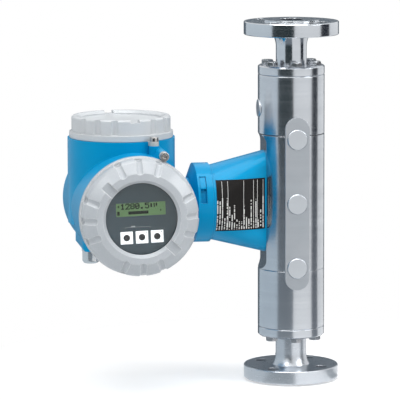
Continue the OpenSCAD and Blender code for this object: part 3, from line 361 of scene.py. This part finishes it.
moulded = {
    "blackRubber": {"color": (0.016, 0.016, 0.017), "colorShift": (0.024, 0.024, 0.025),
                    "edgeColor": (0.06, 0.06, 0.06), "grainScale": 900.0, "roughness": 0.62, "relief": 0.15},
    "darkRing": {"color": (0.03, 0.032, 0.036), "colorShift": (0.04, 0.042, 0.047), "edgeColor": (0.12, 0.12, 0.13),
                 "grainScale": 900.0, "roughness": 0.42, "relief": 0.08},
    "boardGreen": {"color": (0.02, 0.16, 0.075), "colorShift": (0.03, 0.22, 0.10), "edgeColor": (0.35, 0.33, 0.18),
                   "grainScale": 300.0, "roughness": 0.35, "relief": 0.1},
    "carrierWhite": {"color": (0.66, 0.66, 0.64), "colorShift": (0.60, 0.60, 0.58), "edgeColor": (0.8, 0.8, 0.78),
                     "grainScale": 700.0, "roughness": 0.48, "relief": 0.12},
    "windingCopper": {"color": (0.55, 0.24, 0.10), "colorShift": (0.62, 0.30, 0.13), "edgeColor": (0.8, 0.5, 0.3),
                      "grainScale": 1500.0, "roughness": 0.3, "relief": 0.2, "metallic": 1.0},
    "magnetNickel": {"color": (0.42, 0.43, 0.45), "colorShift": (0.48, 0.49, 0.5), "edgeColor": (0.7, 0.7, 0.72),
                     "grainScale": 800.0, "roughness": 0.2, "relief": 0.05, "metallic": 1.0},
    "sensorCeramic": {"color": (0.82, 0.81, 0.78), "colorShift": (0.76, 0.75, 0.72), "edgeColor": (0.9, 0.9, 0.88),
                      "grainScale": 900.0, "roughness": 0.35, "relief": 0.06},
    "goldPins": {"color": (0.62, 0.44, 0.14), "colorShift": (0.68, 0.5, 0.2), "edgeColor": (0.85, 0.7, 0.4),
                 "grainScale": 900.0, "roughness": 0.22, "relief": 0.05, "metallic": 1.0},
    "glandNickel": {"color": (0.66, 0.68, 0.69), "colorShift": (0.60, 0.62, 0.63), "edgeColor": (0.86, 0.87, 0.88),
                    "grainScale": 500.0, "roughness": 0.2, "relief": 0.05, "metallic": 0.85, "edgeRadius": 0.0006},
}
mouldedNodes = {
    "blackRubber": ["neck_seal", "gland_seals", "signal_loom", "display_cover_seal", "terminal_cover_seal"],
    "darkRing": ["end_seals", "glass_retainer", "display_carrier"],
    "boardGreen": ["circuit_boards", "terminal_block"],
    "carrierWhite": ["board_carrier"],
    "windingCopper": ["exciter_coil", "pickup_coils"],
    "magnetNickel": ["exciter_magnet", "pickup_magnets"],
    "sensorCeramic": ["temperature_sensor"],
    "goldPins": ["feedthrough"],
    "glandNickel": ["gland_bodies", "gland_nuts"],
}
for finish, look in moulded.items():
    dress(plainMoulded(finish, look)[0], *mouldedNodes[finish])
print("metal and moulded finishes set")


# transmitter housing: blue outside, bare machined metal on the two threaded spigots

displayLow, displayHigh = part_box("display_cover")
terminalLow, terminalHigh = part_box("terminal_cover")
displayAxis = ((displayLow.x + displayHigh.x) / 2, (displayLow.z + displayHigh.z) / 2)
terminalAxis = ((terminalLow.x + terminalHigh.x) / 2, (terminalLow.y + terminalHigh.y) / 2)
spigots = {
    "displayRadius": 0.0620, "displayRim": displayHigh.y, "displayThread": 0.0058,
    "terminalRadius": 0.0540, "terminalRim": terminalLow.z, "terminalThread": 0.0040,
    "threadStart": 0.0038, "pitch": 0.002, "ridge": 0.00022, "ridgeShare": 0.36, "ridgeFoot": 0.0001,
    "stepsPerTurn": 72, "sideGap": 0.0003, "rimGap": 0.0002, "bareColor": (0.56, 0.57, 0.58),
}


def housingMaterial(look, ends):
    # bare = inside the spigot radius and past the rim, for either cover
    material, tree, shader, place = paintedMetal("housingPaint", look)
    split = addNode(tree, "ShaderNodeSeparateXYZ", {0: place})
    x, y, z = split.outputs[0], split.outputs[1], split.outputs[2]

    def within(a, a0, b, b0, radius):
        da = calc(tree, "POWER", calc(tree, "SUBTRACT", a, a0), 2.0)
        db = calc(tree, "POWER", calc(tree, "SUBTRACT", b, b0), 2.0)
        distance = calc(tree, "SQRT", calc(tree, "ADD", da, db))
        return calc(tree, "LESS_THAN", distance, radius + ends["sideGap"])

    nearDisplay = within(x, displayAxis[0], z, displayAxis[1], ends["displayRadius"])
    pastDisplay = calc(tree, "LESS_THAN", y, ends["displayRim"] - ends["rimGap"])
    nearTerminal = within(x, terminalAxis[0], y, terminalAxis[1], ends["terminalRadius"])
    pastTerminal = calc(tree, "GREATER_THAN", z, ends["terminalRim"] + ends["rimGap"])
    bare = calc(tree, "MAXIMUM", calc(tree, "MULTIPLY", nearDisplay, pastDisplay),
                calc(tree, "MULTIPLY", nearTerminal, pastTerminal))
    painted = shader.inputs["Base Color"].links[0].from_socket
    color = blendColors(tree, bare, painted, ends["bareColor"])
    tree.links.new(color, shader.inputs["Base Color"])
    tree.links.new(bare, shader.inputs["Metallic"])
    return material


dress(housingMaterial(bluePaint, spigots), "transmitter_housing")
print("housing painted")


# display: slate front, green panel, white key fields

# top is the painted shade at the top right, bottom the lighter bottom left
slateFront = {"top": (0.020, 0.042, 0.052), "bottom": (0.040, 0.074, 0.100), "roughness": 0.42}
panelGreen = {"color": (0.098, 0.200, 0.070), "lit": (0.122, 0.245, 0.088), "cell": 0.00045, "glow": 0.16}
# the keys' glow is painted light, making up for the lamp light that the glass keeps off them
keyFields = {"color": (0.92, 0.945, 0.96), "roughness": 0.5, "glow": 0.62}


def slateMaterial(look):
    # slate film, darker at the top right and lighter at the bottom left as painted shade
    material, tree, shader, place = startMaterial("slateFilm")
    low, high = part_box("display_face")
    split = addNode(tree, "ShaderNodeSeparateXYZ", {0: place})
    rise = remap(tree, split.outputs[2], high.z, low.z)
    across = remap(tree, split.outputs[0], high.x, low.x)
    paintedShade = calc(tree, "ADD", calc(tree, "MULTIPLY", rise, 0.55), calc(tree, "MULTIPLY", across, 0.45))
    grain = useGroup(tree, surfaceGrain, {"Vector": place, "Scale": 1400.0})
    color = blendColors(tree, paintedShade, look["top"], look["bottom"])
    color = blendColors(tree, remap(tree, grain["Value"], 0.3, 0.7, 0.0, 0.12), color, (0.12, 0.15, 0.17))
    tree.links.new(color, shader.inputs["Base Color"])
    rough = remap(tree, grain["Value"], 0.3, 0.7, look["roughness"] - 0.05, look["roughness"] + 0.05)
    tree.links.new(rough, shader.inputs["Roughness"])
    bump = addNode(tree, "ShaderNodeBump", {"Height": grain["Value"], "Strength": 0.08, "Distance": 0.0001})
    tree.links.new(bump.outputs[0], shader.inputs["Normal"])
    return material


def panelMaterial(look):
    # lit panel: fine square cells, brighter in the middle
    material, tree, shader, place = startMaterial("panelGreen")
    low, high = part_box("display_lcd")
    cells = addNode(tree, "ShaderNodeTexChecker", {"Vector": place, "Scale": 1.0 / look["cell"],
                    "Color1": (0, 0, 0, 1), "Color2": (1, 1, 1, 1)})
    split = addNode(tree, "ShaderNodeSeparateXYZ", {0: place})
    middle = (low.x + high.x) / 2
    away = calc(tree, "ABSOLUTE", calc(tree, "SUBTRACT", split.outputs[0], middle))
    glow = remap(tree, away, 0.0, (high.x - low.x) / 2, 1.0, 0.35)
    color = blendColors(tree, glow, look["color"], look["lit"])
    color = blendColors(tree, calc(tree, "MULTIPLY", cells.outputs["Fac"], 0.06), color, (0.05, 0.15, 0.03))
    tree.links.new(color, shader.inputs["Base Color"])
    tree.links.new(color, shader.inputs["Emission Color"])
    shader.inputs["Emission Strength"].default_value = look["glow"]
    tree.links.new(remap(tree, cells.outputs["Fac"], 0.0, 1.0, 0.3, 0.36), shader.inputs["Roughness"])
    return material


def printedInk(name, color, roughness, specular=0.5, glow=0.0):
    material, tree, shader, place = startMaterial(name)
    shader.inputs["Specular IOR Level"].default_value = specular
    # a glow, where one is given, is painted light; only the white keys get one
    shader.inputs["Emission Color"].default_value = (*color, 1.0)
    shader.inputs["Emission Strength"].default_value = glow
    grain = useGroup(tree, surfaceGrain, {"Vector": place, "Scale": 1800.0})
    dark = tuple(c * 0.9 for c in color)
    tree.links.new(blendColors(tree, remap(tree, grain["Value"], 0.35, 0.65), color, dark), shader.inputs["Base Color"])
    rough = remap(tree, grain["Value"], 0.3, 0.7, roughness - 0.05, roughness + 0.05)
    tree.links.new(rough, shader.inputs["Roughness"])
    return material


def glassMaterial():
    material, tree, shader, place = startMaterial("clearGlass")
    grain = useGroup(tree, surfaceGrain, {"Vector": place, "Scale": 90.0})
    smear = remap(tree, grain["Coarse"], 0.45, 0.8, 0.0, 0.05)
    tree.links.new(smear, shader.inputs["Roughness"])
    tint = blendColors(tree, grain["Coarse"], (0.975, 0.99, 0.99), (0.985, 0.995, 0.995))
    tree.links.new(tint, shader.inputs["Base Color"])
    shader.inputs["Transmission Weight"].default_value = 1.0
    shader.inputs["IOR"].default_value = 1.46
    return material


dress(slateMaterial(slateFront), "display_face")
dress(panelMaterial(panelGreen), "display_lcd")
dress(printedInk("keyWhite", keyFields["color"], keyFields["roughness"], glow=keyFields["glow"]), "display_keys")
dress(glassMaterial(), "display_glass")
print("display finished")


# nameplate: black foil with plain rules and bars

nameplateFoil = {
    "black": (0.0065, 0.0055, 0.005), "print": (0.80, 0.80, 0.78),
    "rules": [0.0915, 0.0843, 0.0640, 0.0512, 0.0462, 0.0388],
    "ruleWidth": 0.00022, "linePitch": 0.0031, "barWidth": 0.42, "margin": 0.0016, "barsFrom": 0.14, "barsUpTo": 0.72,
    "runLength": 0.0011, "gaps": 0.27, "barStrength": 0.8,
}


def nameplateMaterial(look):
    # rules are thin strips at fixed distances from the pipe axis; bars are rows of random length, broken
    # into short runs by a second noise
    material, tree, shader, place = startMaterial("nameplateFoil")
    low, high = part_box("nameplate")
    split = addNode(tree, "ShaderNodeSeparateXYZ", {0: place})
    x, z = split.outputs[0], split.outputs[2]
    marks = None
    for place0 in look["rules"]:
        off = calc(tree, "ABSOLUTE", calc(tree, "ADD", x, place0))
        strip = calc(tree, "LESS_THAN", off, look["ruleWidth"])
        marks = strip if marks is None else calc(tree, "MAXIMUM", marks, strip)
    row = calc(tree, "DIVIDE", x, look["linePitch"])
    rowNumber = calc(tree, "FLOOR", row)
    rowPart = calc(tree, "ABSOLUTE", calc(tree, "SUBTRACT", calc(tree, "FRACT", row), 0.5))
    inRow = calc(tree, "LESS_THAN", rowPart, look["barWidth"] / 2)
    dice = addNode(tree, "ShaderNodeTexWhiteNoise", {"W": rowNumber}, noise_dimensions="1D")
    reach = remap(tree, dice.outputs["Value"], 0.0, 1.0, look["barsFrom"], look["barsUpTo"])
    level = remap(tree, z, low.z + look["margin"], high.z - look["margin"])
    short = calc(tree, "LESS_THAN", level, reach)
    run = calc(tree, "FLOOR", calc(tree, "MULTIPLY", z, 1.0 / look["runLength"]))
    cell = addNode(tree, "ShaderNodeCombineXYZ", {"X": rowNumber, "Y": run})
    breaks = addNode(tree, "ShaderNodeTexWhiteNoise", {"Vector": cell.outputs[0]}, noise_dimensions="2D")
    solid = calc(tree, "GREATER_THAN", breaks.outputs["Value"], look["gaps"])
    bars = calc(tree, "MULTIPLY", calc(tree, "MULTIPLY", inRow, short), solid)
    inside = calc(tree, "MULTIPLY", calc(tree, "GREATER_THAN", z, low.z + look["margin"]),
                  calc(tree, "LESS_THAN", z, high.z - look["margin"]))
    faintBars = calc(tree, "MULTIPLY", bars, look["barStrength"])
    marks = calc(tree, "MULTIPLY", calc(tree, "MAXIMUM", marks, faintBars), inside)
    grain = useGroup(tree, surfaceGrain, {"Vector": place, "Scale": 1500.0})
    color = blendColors(tree, marks, look["black"], look["print"])
    color = blendColors(tree, remap(tree, grain["Value"], 0.4, 0.7, 0.0, 0.05), color, (0.2, 0.2, 0.2))
    tree.links.new(color, shader.inputs["Base Color"])
    tree.links.new(remap(tree, grain["Value"], 0.3, 0.7, 0.38, 0.5), shader.inputs["Roughness"])
    wearAndHighlight = useGroup(tree, edgeWearAndHighlight, {"Vector": place, "Radius": 0.0003, "Breakup": 0.3})
    tree.links.new(wearAndHighlight["Normal"], shader.inputs["Normal"])
    shader.inputs["Specular IOR Level"].default_value = 0.12
    return material


dress(nameplateMaterial(nameplateFoil), "nameplate")
print("nameplate printed")


# new pieces

def newPiece(name, points, faces, material):
    mesh = bpy.data.meshes.new(name)
    mesh.from_pydata(points.tolist(), [], faces)
    mesh.materials.append(material)
    mesh.update()
    piece = bpy.data.objects.new(name, mesh)
    bpy.context.scene.collection.objects.link(piece)
    return piece


def ridingPiece(name, points, faces, material, body):
    piece = newPiece(name, points, faces, material)
    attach(piece, body)
    return piece


moduleTurn = math.radians(2.0)   # the module leans this much at rest
moduleAcross = np.array([math.cos(moduleTurn), 0.0, math.sin(moduleTurn)])
moduleUp = np.array([-math.sin(moduleTurn), 0.0, math.cos(moduleTurn)])
moduleOut = np.array([0.0, -1.0, 0.0])


def onModule(local, planeY):
    # point = centre of the display in the plane + x * across + y * up + z * out
    origin = np.array([displayAxis[0], planeY, displayAxis[1]])
    return origin + local[..., :1] * moduleAcross + local[..., 1:2] * moduleUp + local[..., 2:] * moduleOut


def thinTiles(centres, sizes, planeY, thickness=0.00005):
    # every tile is a box: origin + across * x + up * y + out * z, with x and y within half its size
    square = np.array([[-1, -1], [1, -1], [1, 1], [-1, 1]], float)
    corner = np.concatenate([np.insert(square, 2, level, axis=1) for level in (0, 1)])
    half = np.concatenate([sizes / 2, np.full((len(sizes), 1), thickness)], axis=1)
    local = corner[None] * half[:, None, :]
    local[:, :, :2] += centres[:, None, :]
    points = onModule(local, planeY)
    quads = np.array([[3, 2, 1, 0], [4, 5, 6, 7], [0, 1, 5, 4], [1, 2, 6, 5], [2, 3, 7, 6], [3, 0, 4, 7]])
    faces = quads[None] + 8 * np.arange(len(centres))[:, None, None]
    return points.reshape(-1, 3), faces.reshape(-1, 4).tolist()


panelMarks = {
    "number": "1280.5", "dot": 0.0016, "pitch": 0.00096, "left": -0.0232, "top": 0.0178,
    "rowShare": 1.3,
    "signs": [   # unit, plus sign and second row: middle x, middle y, width, height
        (0.0124, 0.0150, 0.0022, 0.0046), (0.0160, 0.0150, 0.0014, 0.0052), (0.0186, 0.0157, 0.0018, 0.0036),
        (-0.0262, 0.0150, 0.0030, 0.0007), (-0.0262, 0.0150, 0.0007, 0.0030),
        (-0.0265, 0.0072, 0.0028, 0.0046), (-0.0030, 0.0072, 0.0238, 0.0036), (0.0235, 0.0088, 0.0010, 0.0026),
    ],
}
digitRows = {   # seven rows of five dots each, as binary numbers
    "0": (14, 17, 19, 21, 25, 17, 14), "1": (4, 12, 4, 4, 4, 4, 14), "2": (14, 17, 1, 2, 4, 8, 31),
    "5": (31, 16, 30, 1, 1, 17, 14), "8": (14, 17, 17, 14, 17, 17, 14), ".": (0, 0, 0, 0, 0, 12, 12),
}


def panelDots(look):
    # dots that touch in a row form one tile: middle = left + pitch * (6 * character + mean column),
    # top - pitch * row, and its length = pitch * (last column - first column) + dot
    rows = np.array([digitRows[c] for c in look["number"]])
    bits = np.pad((rows[:, :, None] >> np.arange(4, -1, -1)) & 1, ((0, 0), (0, 0), (1, 1)))
    char, row, first = np.nonzero(bits[..., 1:] > bits[..., :-1])
    last = np.nonzero(bits[..., 1:] < bits[..., :-1])[2] - 1
    x = look["left"] + look["pitch"] * (6 * char + (first + last) / 2)
    y = look["top"] - look["pitch"] * row
    centres = np.stack([x, y], axis=1)
    tall = np.full(len(row), look["pitch"] * look["rowShare"])
    sizes = np.stack([look["pitch"] * (last - first) + look["dot"], tall], axis=1)
    signs = np.array(look["signs"])
    return np.concatenate([centres, signs[:, :2]]), np.concatenate([sizes, signs[:, 2:]])


panelInk = printedInk("panelInk", (0.002, 0.006, 0.002), 0.7, 0.08)
keyInk = printedInk("keyInk", (0.006, 0.007, 0.008), 0.35)
whiteInk = printedInk("whiteInk", (0.50, 0.54, 0.56), 0.5)

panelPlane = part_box("display_lcd")[0].y
tileCentres, tileSizes = panelDots(panelMarks)
tilePoints, tileFaces = thinTiles(tileCentres, tileSizes, panelPlane)
ridingPiece("panelDigits", tilePoints, tileFaces, panelInk, "display_module")

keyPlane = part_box("display_keys")[0].y
keyMarks = {
    "pitch": 0.018, "row": -0.022, "dotRadius": 0.0039, "thickness": 0.00025, "steps": 40,
    "levels": ((1.0, 0.0), (1.0, 0.5), (0.94, 0.85), (0.7, 1.0)),
}


def keyDots(look):
    # low domed discs: ring radius r * reach, height h * rise, for each level from the rim to the top
    steps = look["steps"]
    around = np.linspace(0, 2 * math.pi, steps, endpoint=False)
    ring = np.stack([np.cos(around), np.sin(around)], axis=1) * look["dotRadius"]
    reach, rise = np.array(look["levels"]).T
    side = np.array([-1.0, 0.0, 1.0])
    centre = np.stack([side * look["pitch"], np.full(3, look["row"])], axis=1)
    flat = centre[:, None, None] + reach[None, :, None, None] * ring
    height = np.broadcast_to(rise[None, :, None, None] * look["thickness"], (*flat.shape[:3], 1))
    wall = np.concatenate([flat, height], axis=3).reshape(3, -1, 3)
    ends = np.array([0.0, look["thickness"]])[None, :, None]
    poles = np.concatenate([np.repeat(centre[:, None], 2, axis=1), np.broadcast_to(ends, (3, 2, 1))], axis=2)
    local = np.concatenate([wall, poles], axis=1).reshape(-1, 3)
    points = onModule(local, keyPlane)
    here, after = np.arange(steps), (np.arange(steps) + 1) % steps
    level = steps * np.arange(len(reach) - 1)[:, None]
    quads = np.stack([level + here, level + after, level + steps + after, level + steps + here], axis=2).reshape(-1, 4)
    count = steps * len(reach)
    top = np.stack([count - steps + here, count - steps + after, np.full(steps, count + 1)], axis=1)
    bottom = np.stack([after, here, np.full(steps, count)], axis=1)
    shift = (count + 2) * np.arange(3)[:, None, None]
    caps = np.concatenate([top, bottom])
    return points, (quads + shift).reshape(-1, 4).tolist() + (caps + shift).reshape(-1, 3).tolist()


dotPoints, dotFaces = keyDots(keyMarks)
ridingPiece("keySensors", dotPoints, dotFaces, keyInk, "display_module")

flatMarks = {   # middle x, middle y, width, height on the module
    "keySigns": [
        (-0.0128, -0.0164, 0.0016, 0.0005), (0.0052, -0.0164, 0.0018, 0.0005), (0.0052, -0.0164, 0.0005, 0.0018),
        (0.0232, -0.0164, 0.0005, 0.0020), (0.0237, -0.0168, 0.0012, 0.0005),
    ],
    "keyBracket": [
        (-0.0045, -0.0098, 0.0290, 0.00028), (-0.0190, -0.0105, 0.00028, 0.0016),
        (0.0100, -0.0105, 0.00028, 0.0016), (-0.0098, -0.0088, 0.0048, 0.0014),
    ],
}


def flatPiece(name, planeY, ink):
    marks = np.array(flatMarks[name])
    points, faces = thinTiles(marks[:, :2], marks[:, 2:], planeY)
    ridingPiece(name, points, faces, ink, "display_module")


flatPiece("keySigns", keyPlane, keyInk)
flatPiece("keyBracket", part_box("display_face")[0].y, whiteInk)
print("display marks made")


# threads on the spigots, seen when a cover is unscrewed; each ends before the place where the seal stops

def helicalRidge(name, radius, length, axisPoint, axisDirection, look, material):
    # ridge point = axis point + direction * (start + pitch * turn) + (radius + height) around the axis;
    # the height fades in and out over the first and last half turn
    steps = int(length / look["pitch"] * look["stepsPerTurn"])
    turn = np.linspace(0, length / look["pitch"], steps)
    fade = np.clip(np.minimum(turn, turn[-1] - turn) * 2, 0.02, 1.0)
    half = look["pitch"] * look["ridgeShare"]
    section = np.array([[-half, -look["ridgeFoot"]], [0.0, look["ridge"]], [half, -look["ridgeFoot"]]])
    along = look["threadStart"] + look["pitch"] * turn[:, None] + section[None, :, 0] * fade[:, None]
    away = radius + np.where(section[None, :, 1] > 0, section[None, :, 1] * fade[:, None], section[None, :, 1])
    angle = 2 * math.pi * turn[:, None]
    direction = np.array(axisDirection, float)
    side = np.cross(direction, [1.0, 0.0, 0.0])
    other = np.cross(direction, side)
    points = (np.array(axisPoint) + along[..., None] * direction
              + (away * np.cos(angle))[..., None] * side + (away * np.sin(angle))[..., None] * other)
    first = np.arange(steps - 1)[:, None] * 3
    corner = np.arange(3)[None, :]
    after = (corner + 1) % 3
    quads = np.stack([first + corner, first + after, first + 3 + after, first + 3 + corner], axis=2).reshape(-1, 4)
    last = (steps - 1) * 3
    faces = quads.tolist() + [[0, 2, 1], [last, last + 1, last + 2]]
    ridingPiece(name, points.reshape(-1, 3), faces, material, "head")


bareThread = bareSteel("bareThread", dict(turnedSteel, color=spigots["bareColor"], roughness=0.28))[0]
helicalRidge("displayThread", spigots["displayRadius"], spigots["displayThread"],
             (displayAxis[0], spigots["displayRim"], displayAxis[1]), (0.0, -1.0, 0.0), spigots, bareThread)
helicalRidge("terminalThread", spigots["terminalRadius"], spigots["terminalThread"],
             (*terminalAxis, spigots["terminalRim"]), (0.0, 0.0, 1.0), spigots, bareThread)
print("threads cut")


# studio: white surroundings, soft lamps and tinted cards that only reflections see

studio = {
    "ambient": (0.36, 0.365, 0.37), "floorDiffuse": 0.80, "floorFill": 0.38, "fadeFrom": 0.10, "fadeTo": 0.42,
    "lamps": [
        {"name": "topLamp", "place": (-0.2, -0.5, 2.3), "size": 1.8, "power": 42.0},
        {"name": "leftLamp", "place": (-1.9, -2.1, 1.7), "size": 1.3, "power": 26.0},
        {"name": "rightLamp", "place": (2.2, -1.5, 1.5), "size": 1.2, "power": 32.0},
    ],
    "cards": [   # azimuths in degrees from -Y towards +X, as the pipe sees them
        {"name": "darkCard", "from": -56.0, "to": -3.5, "tone": (0.04, 0.055, 0.06),
         "low": (0.24, 0.27, 0.30), "foot": (0.50, 0.54, 0.57)},
        {"name": "sideCard", "from": 63.0, "to": 91.5, "tone": (0.03, 0.035, 0.045),
         "low": (0.19, 0.205, 0.23), "foot": (0.46, 0.50, 0.53)},
        {"name": "skyCard", "from": -150.0, "to": -56.0, "tone": (0.74, 0.81, 0.86),
         "low": (0.60, 0.69, 0.76), "foot": (0.74, 0.79, 0.83)},
        {"name": "rearCard", "from": 140.0, "to": 210.0, "tone": (0.12, 0.15, 0.18),
         "low": (0.10, 0.125, 0.15), "foot": (0.10, 0.125, 0.15)},
    ],
    "aim": (-0.12, 0.0, 0.22), "floorInner": 0.02, "floorRadius": 1.6, "floorHeight": -0.0003,
    "floorRings": 24, "floorSteps": 72,
    "cardSteps": 24, "cardDistance": 0.85, "cardHeight": 0.60,
    "sectorFrom": 0.065, "toneRise": 0.22, "footLight": (0.10, 0.40),
}


def backgroundRays(tree):
    path = addNode(tree, "ShaderNodeLightPath")
    seen = calc(tree, "MAXIMUM", path.outputs["Is Camera Ray"], path.outputs["Is Glossy Ray"])
    return calc(tree, "MAXIMUM", seen, path.outputs["Is Transmission Ray"])


def buildWorld(look):
    world = bpy.data.worlds.new("studioWorld")
    bpy.context.scene.world = world
    world.use_nodes = True
    tree = world.node_tree
    color = blendColors(tree, backgroundRays(tree), look["ambient"], (1.0, 1.0, 1.0))
    tree.links.new(color, tree.nodes["Background"].inputs["Color"])


def buildFloor(look):
    # disc, white towards its edge: point = radius * (cosine, sine) of the angle, on a grid of both
    rings, steps = look["floorRings"], look["floorSteps"]
    ring = np.linspace(look["floorInner"], look["floorRadius"], rings)
    around = np.linspace(0, 2 * math.pi, steps, endpoint=False)
    points = np.stack([ring[:, None] * np.cos(around), ring[:, None] * np.sin(around),
                       np.full((rings, steps), look["floorHeight"])], axis=2).reshape(-1, 3)
    a = (np.arange(rings - 1)[:, None] * steps + np.arange(steps)).reshape(-1)
    b = (np.arange(rings - 1)[:, None] * steps + (np.arange(steps) + 1) % steps).reshape(-1)
    faces = np.stack([a, a + steps, b + steps, b], axis=1).tolist() + [list(range(steps))]
    material = bpy.data.materials.new("studioFloor")
    material.use_nodes = True
    tree = material.node_tree
    tree.nodes.clear()
    sink = tree.nodes.new("ShaderNodeOutputMaterial")
    shade = addNode(tree, "ShaderNodeBsdfDiffuse", {"Color": (look["floorDiffuse"],) * 3 + (1.0,)})
    fill = addNode(tree, "ShaderNodeEmission", {"Strength": look["floorFill"]})
    lifted = addNode(tree, "ShaderNodeAddShader", {0: shade.outputs[0], 1: fill.outputs[0]})
    white = addNode(tree, "ShaderNodeEmission", {"Strength": 1.0})
    place = addNode(tree, "ShaderNodeTexCoord").outputs["Object"]
    away = addNode(tree, "ShaderNodeVectorMath", {0: place}, operation="LENGTH").outputs["Value"]
    far = remap(tree, away, look["fadeFrom"], look["fadeTo"])
    seen = addNode(tree, "ShaderNodeMixShader", {0: far, 1: lifted.outputs[0], 2: white.outputs[0]})
    final = addNode(tree, "ShaderNodeMixShader", {0: backgroundRays(tree), 1: shade.outputs[0], 2: seen.outputs[0]})
    tree.links.new(final.outputs[0], sink.inputs["Surface"])
    newPiece("studioFloor", points, faces, material)


def buildLamps(look):
    target = np.array(look["aim"])
    for lamp in look["lamps"]:
        data = bpy.data.lights.new(lamp["name"], "AREA")
        data.shape, data.size, data.energy = "SQUARE", lamp["size"], lamp["power"]
        place = np.array(lamp["place"])
        back = (place - target) / np.linalg.norm(place - target)
        side = np.cross([0.0, 0.0, 1.0], back)
        side = side / np.linalg.norm(side)
        matrix = np.eye(4)
        matrix[:3, 0], matrix[:3, 1], matrix[:3, 2], matrix[:3, 3] = side, np.cross(back, side), back, place
        light = bpy.data.objects.new(lamp["name"], data)
        light.matrix_world = Matrix(matrix.tolist())
        bpy.context.scene.collection.objects.link(light)


def buildCards(look):
    # upright part of a cylinder round the pipe, with a sector of the floor in front of it:
    # point = (distance * sine, -distance * cosine, height) of the azimuth
    for card in look["cards"]:
        angle = np.radians(np.linspace(card["from"], card["to"], look["cardSteps"]))
        height = np.array([0.001, 0.001, look["cardHeight"]])
        distance = np.array([look["sectorFrom"], look["cardDistance"], look["cardDistance"]])
        x = distance * np.sin(angle)[:, None]
        y = -distance * np.cos(angle)[:, None]
        points = np.stack([x, y, 0 * x + height], axis=2).reshape(-1, 3)
        i = (np.arange(look["cardSteps"] - 1)[:, None] * 3 + np.arange(2)).reshape(-1)
        faces = np.stack([i, i + 1, i + 4, i + 3], axis=1)
        material = bpy.data.materials.new(card["name"])
        material.use_nodes = True
        tree = material.node_tree
        tree.nodes.clear()
        sink = tree.nodes.new("ShaderNodeOutputMaterial")
        place = addNode(tree, "ShaderNodeTexCoord").outputs["Object"]
        rise = addNode(tree, "ShaderNodeSeparateXYZ", {0: place}).outputs[2]
        tone = blendColors(tree, remap(tree, rise, 0.0, look["toneRise"]), card["low"], card["tone"])
        away = addNode(tree, "ShaderNodeVectorMath", {0: place}, operation="LENGTH").outputs["Value"]
        tone = blendColors(tree, remap(tree, away, *look["footLight"]), card["foot"], tone)
        glow = addNode(tree, "ShaderNodeEmission", {"Color": tone})
        tree.links.new(glow.outputs[0], sink.inputs["Surface"])
        panel = newPiece(card["name"], points, faces.tolist(), material)
        panel.visible_camera = panel.visible_diffuse = panel.visible_shadow = False
        panel.visible_transmission = panel.visible_volume_scatter = False


buildWorld(studio)
buildFloor(studio)
buildLamps(studio)
buildCards(studio)
print("studio lit")
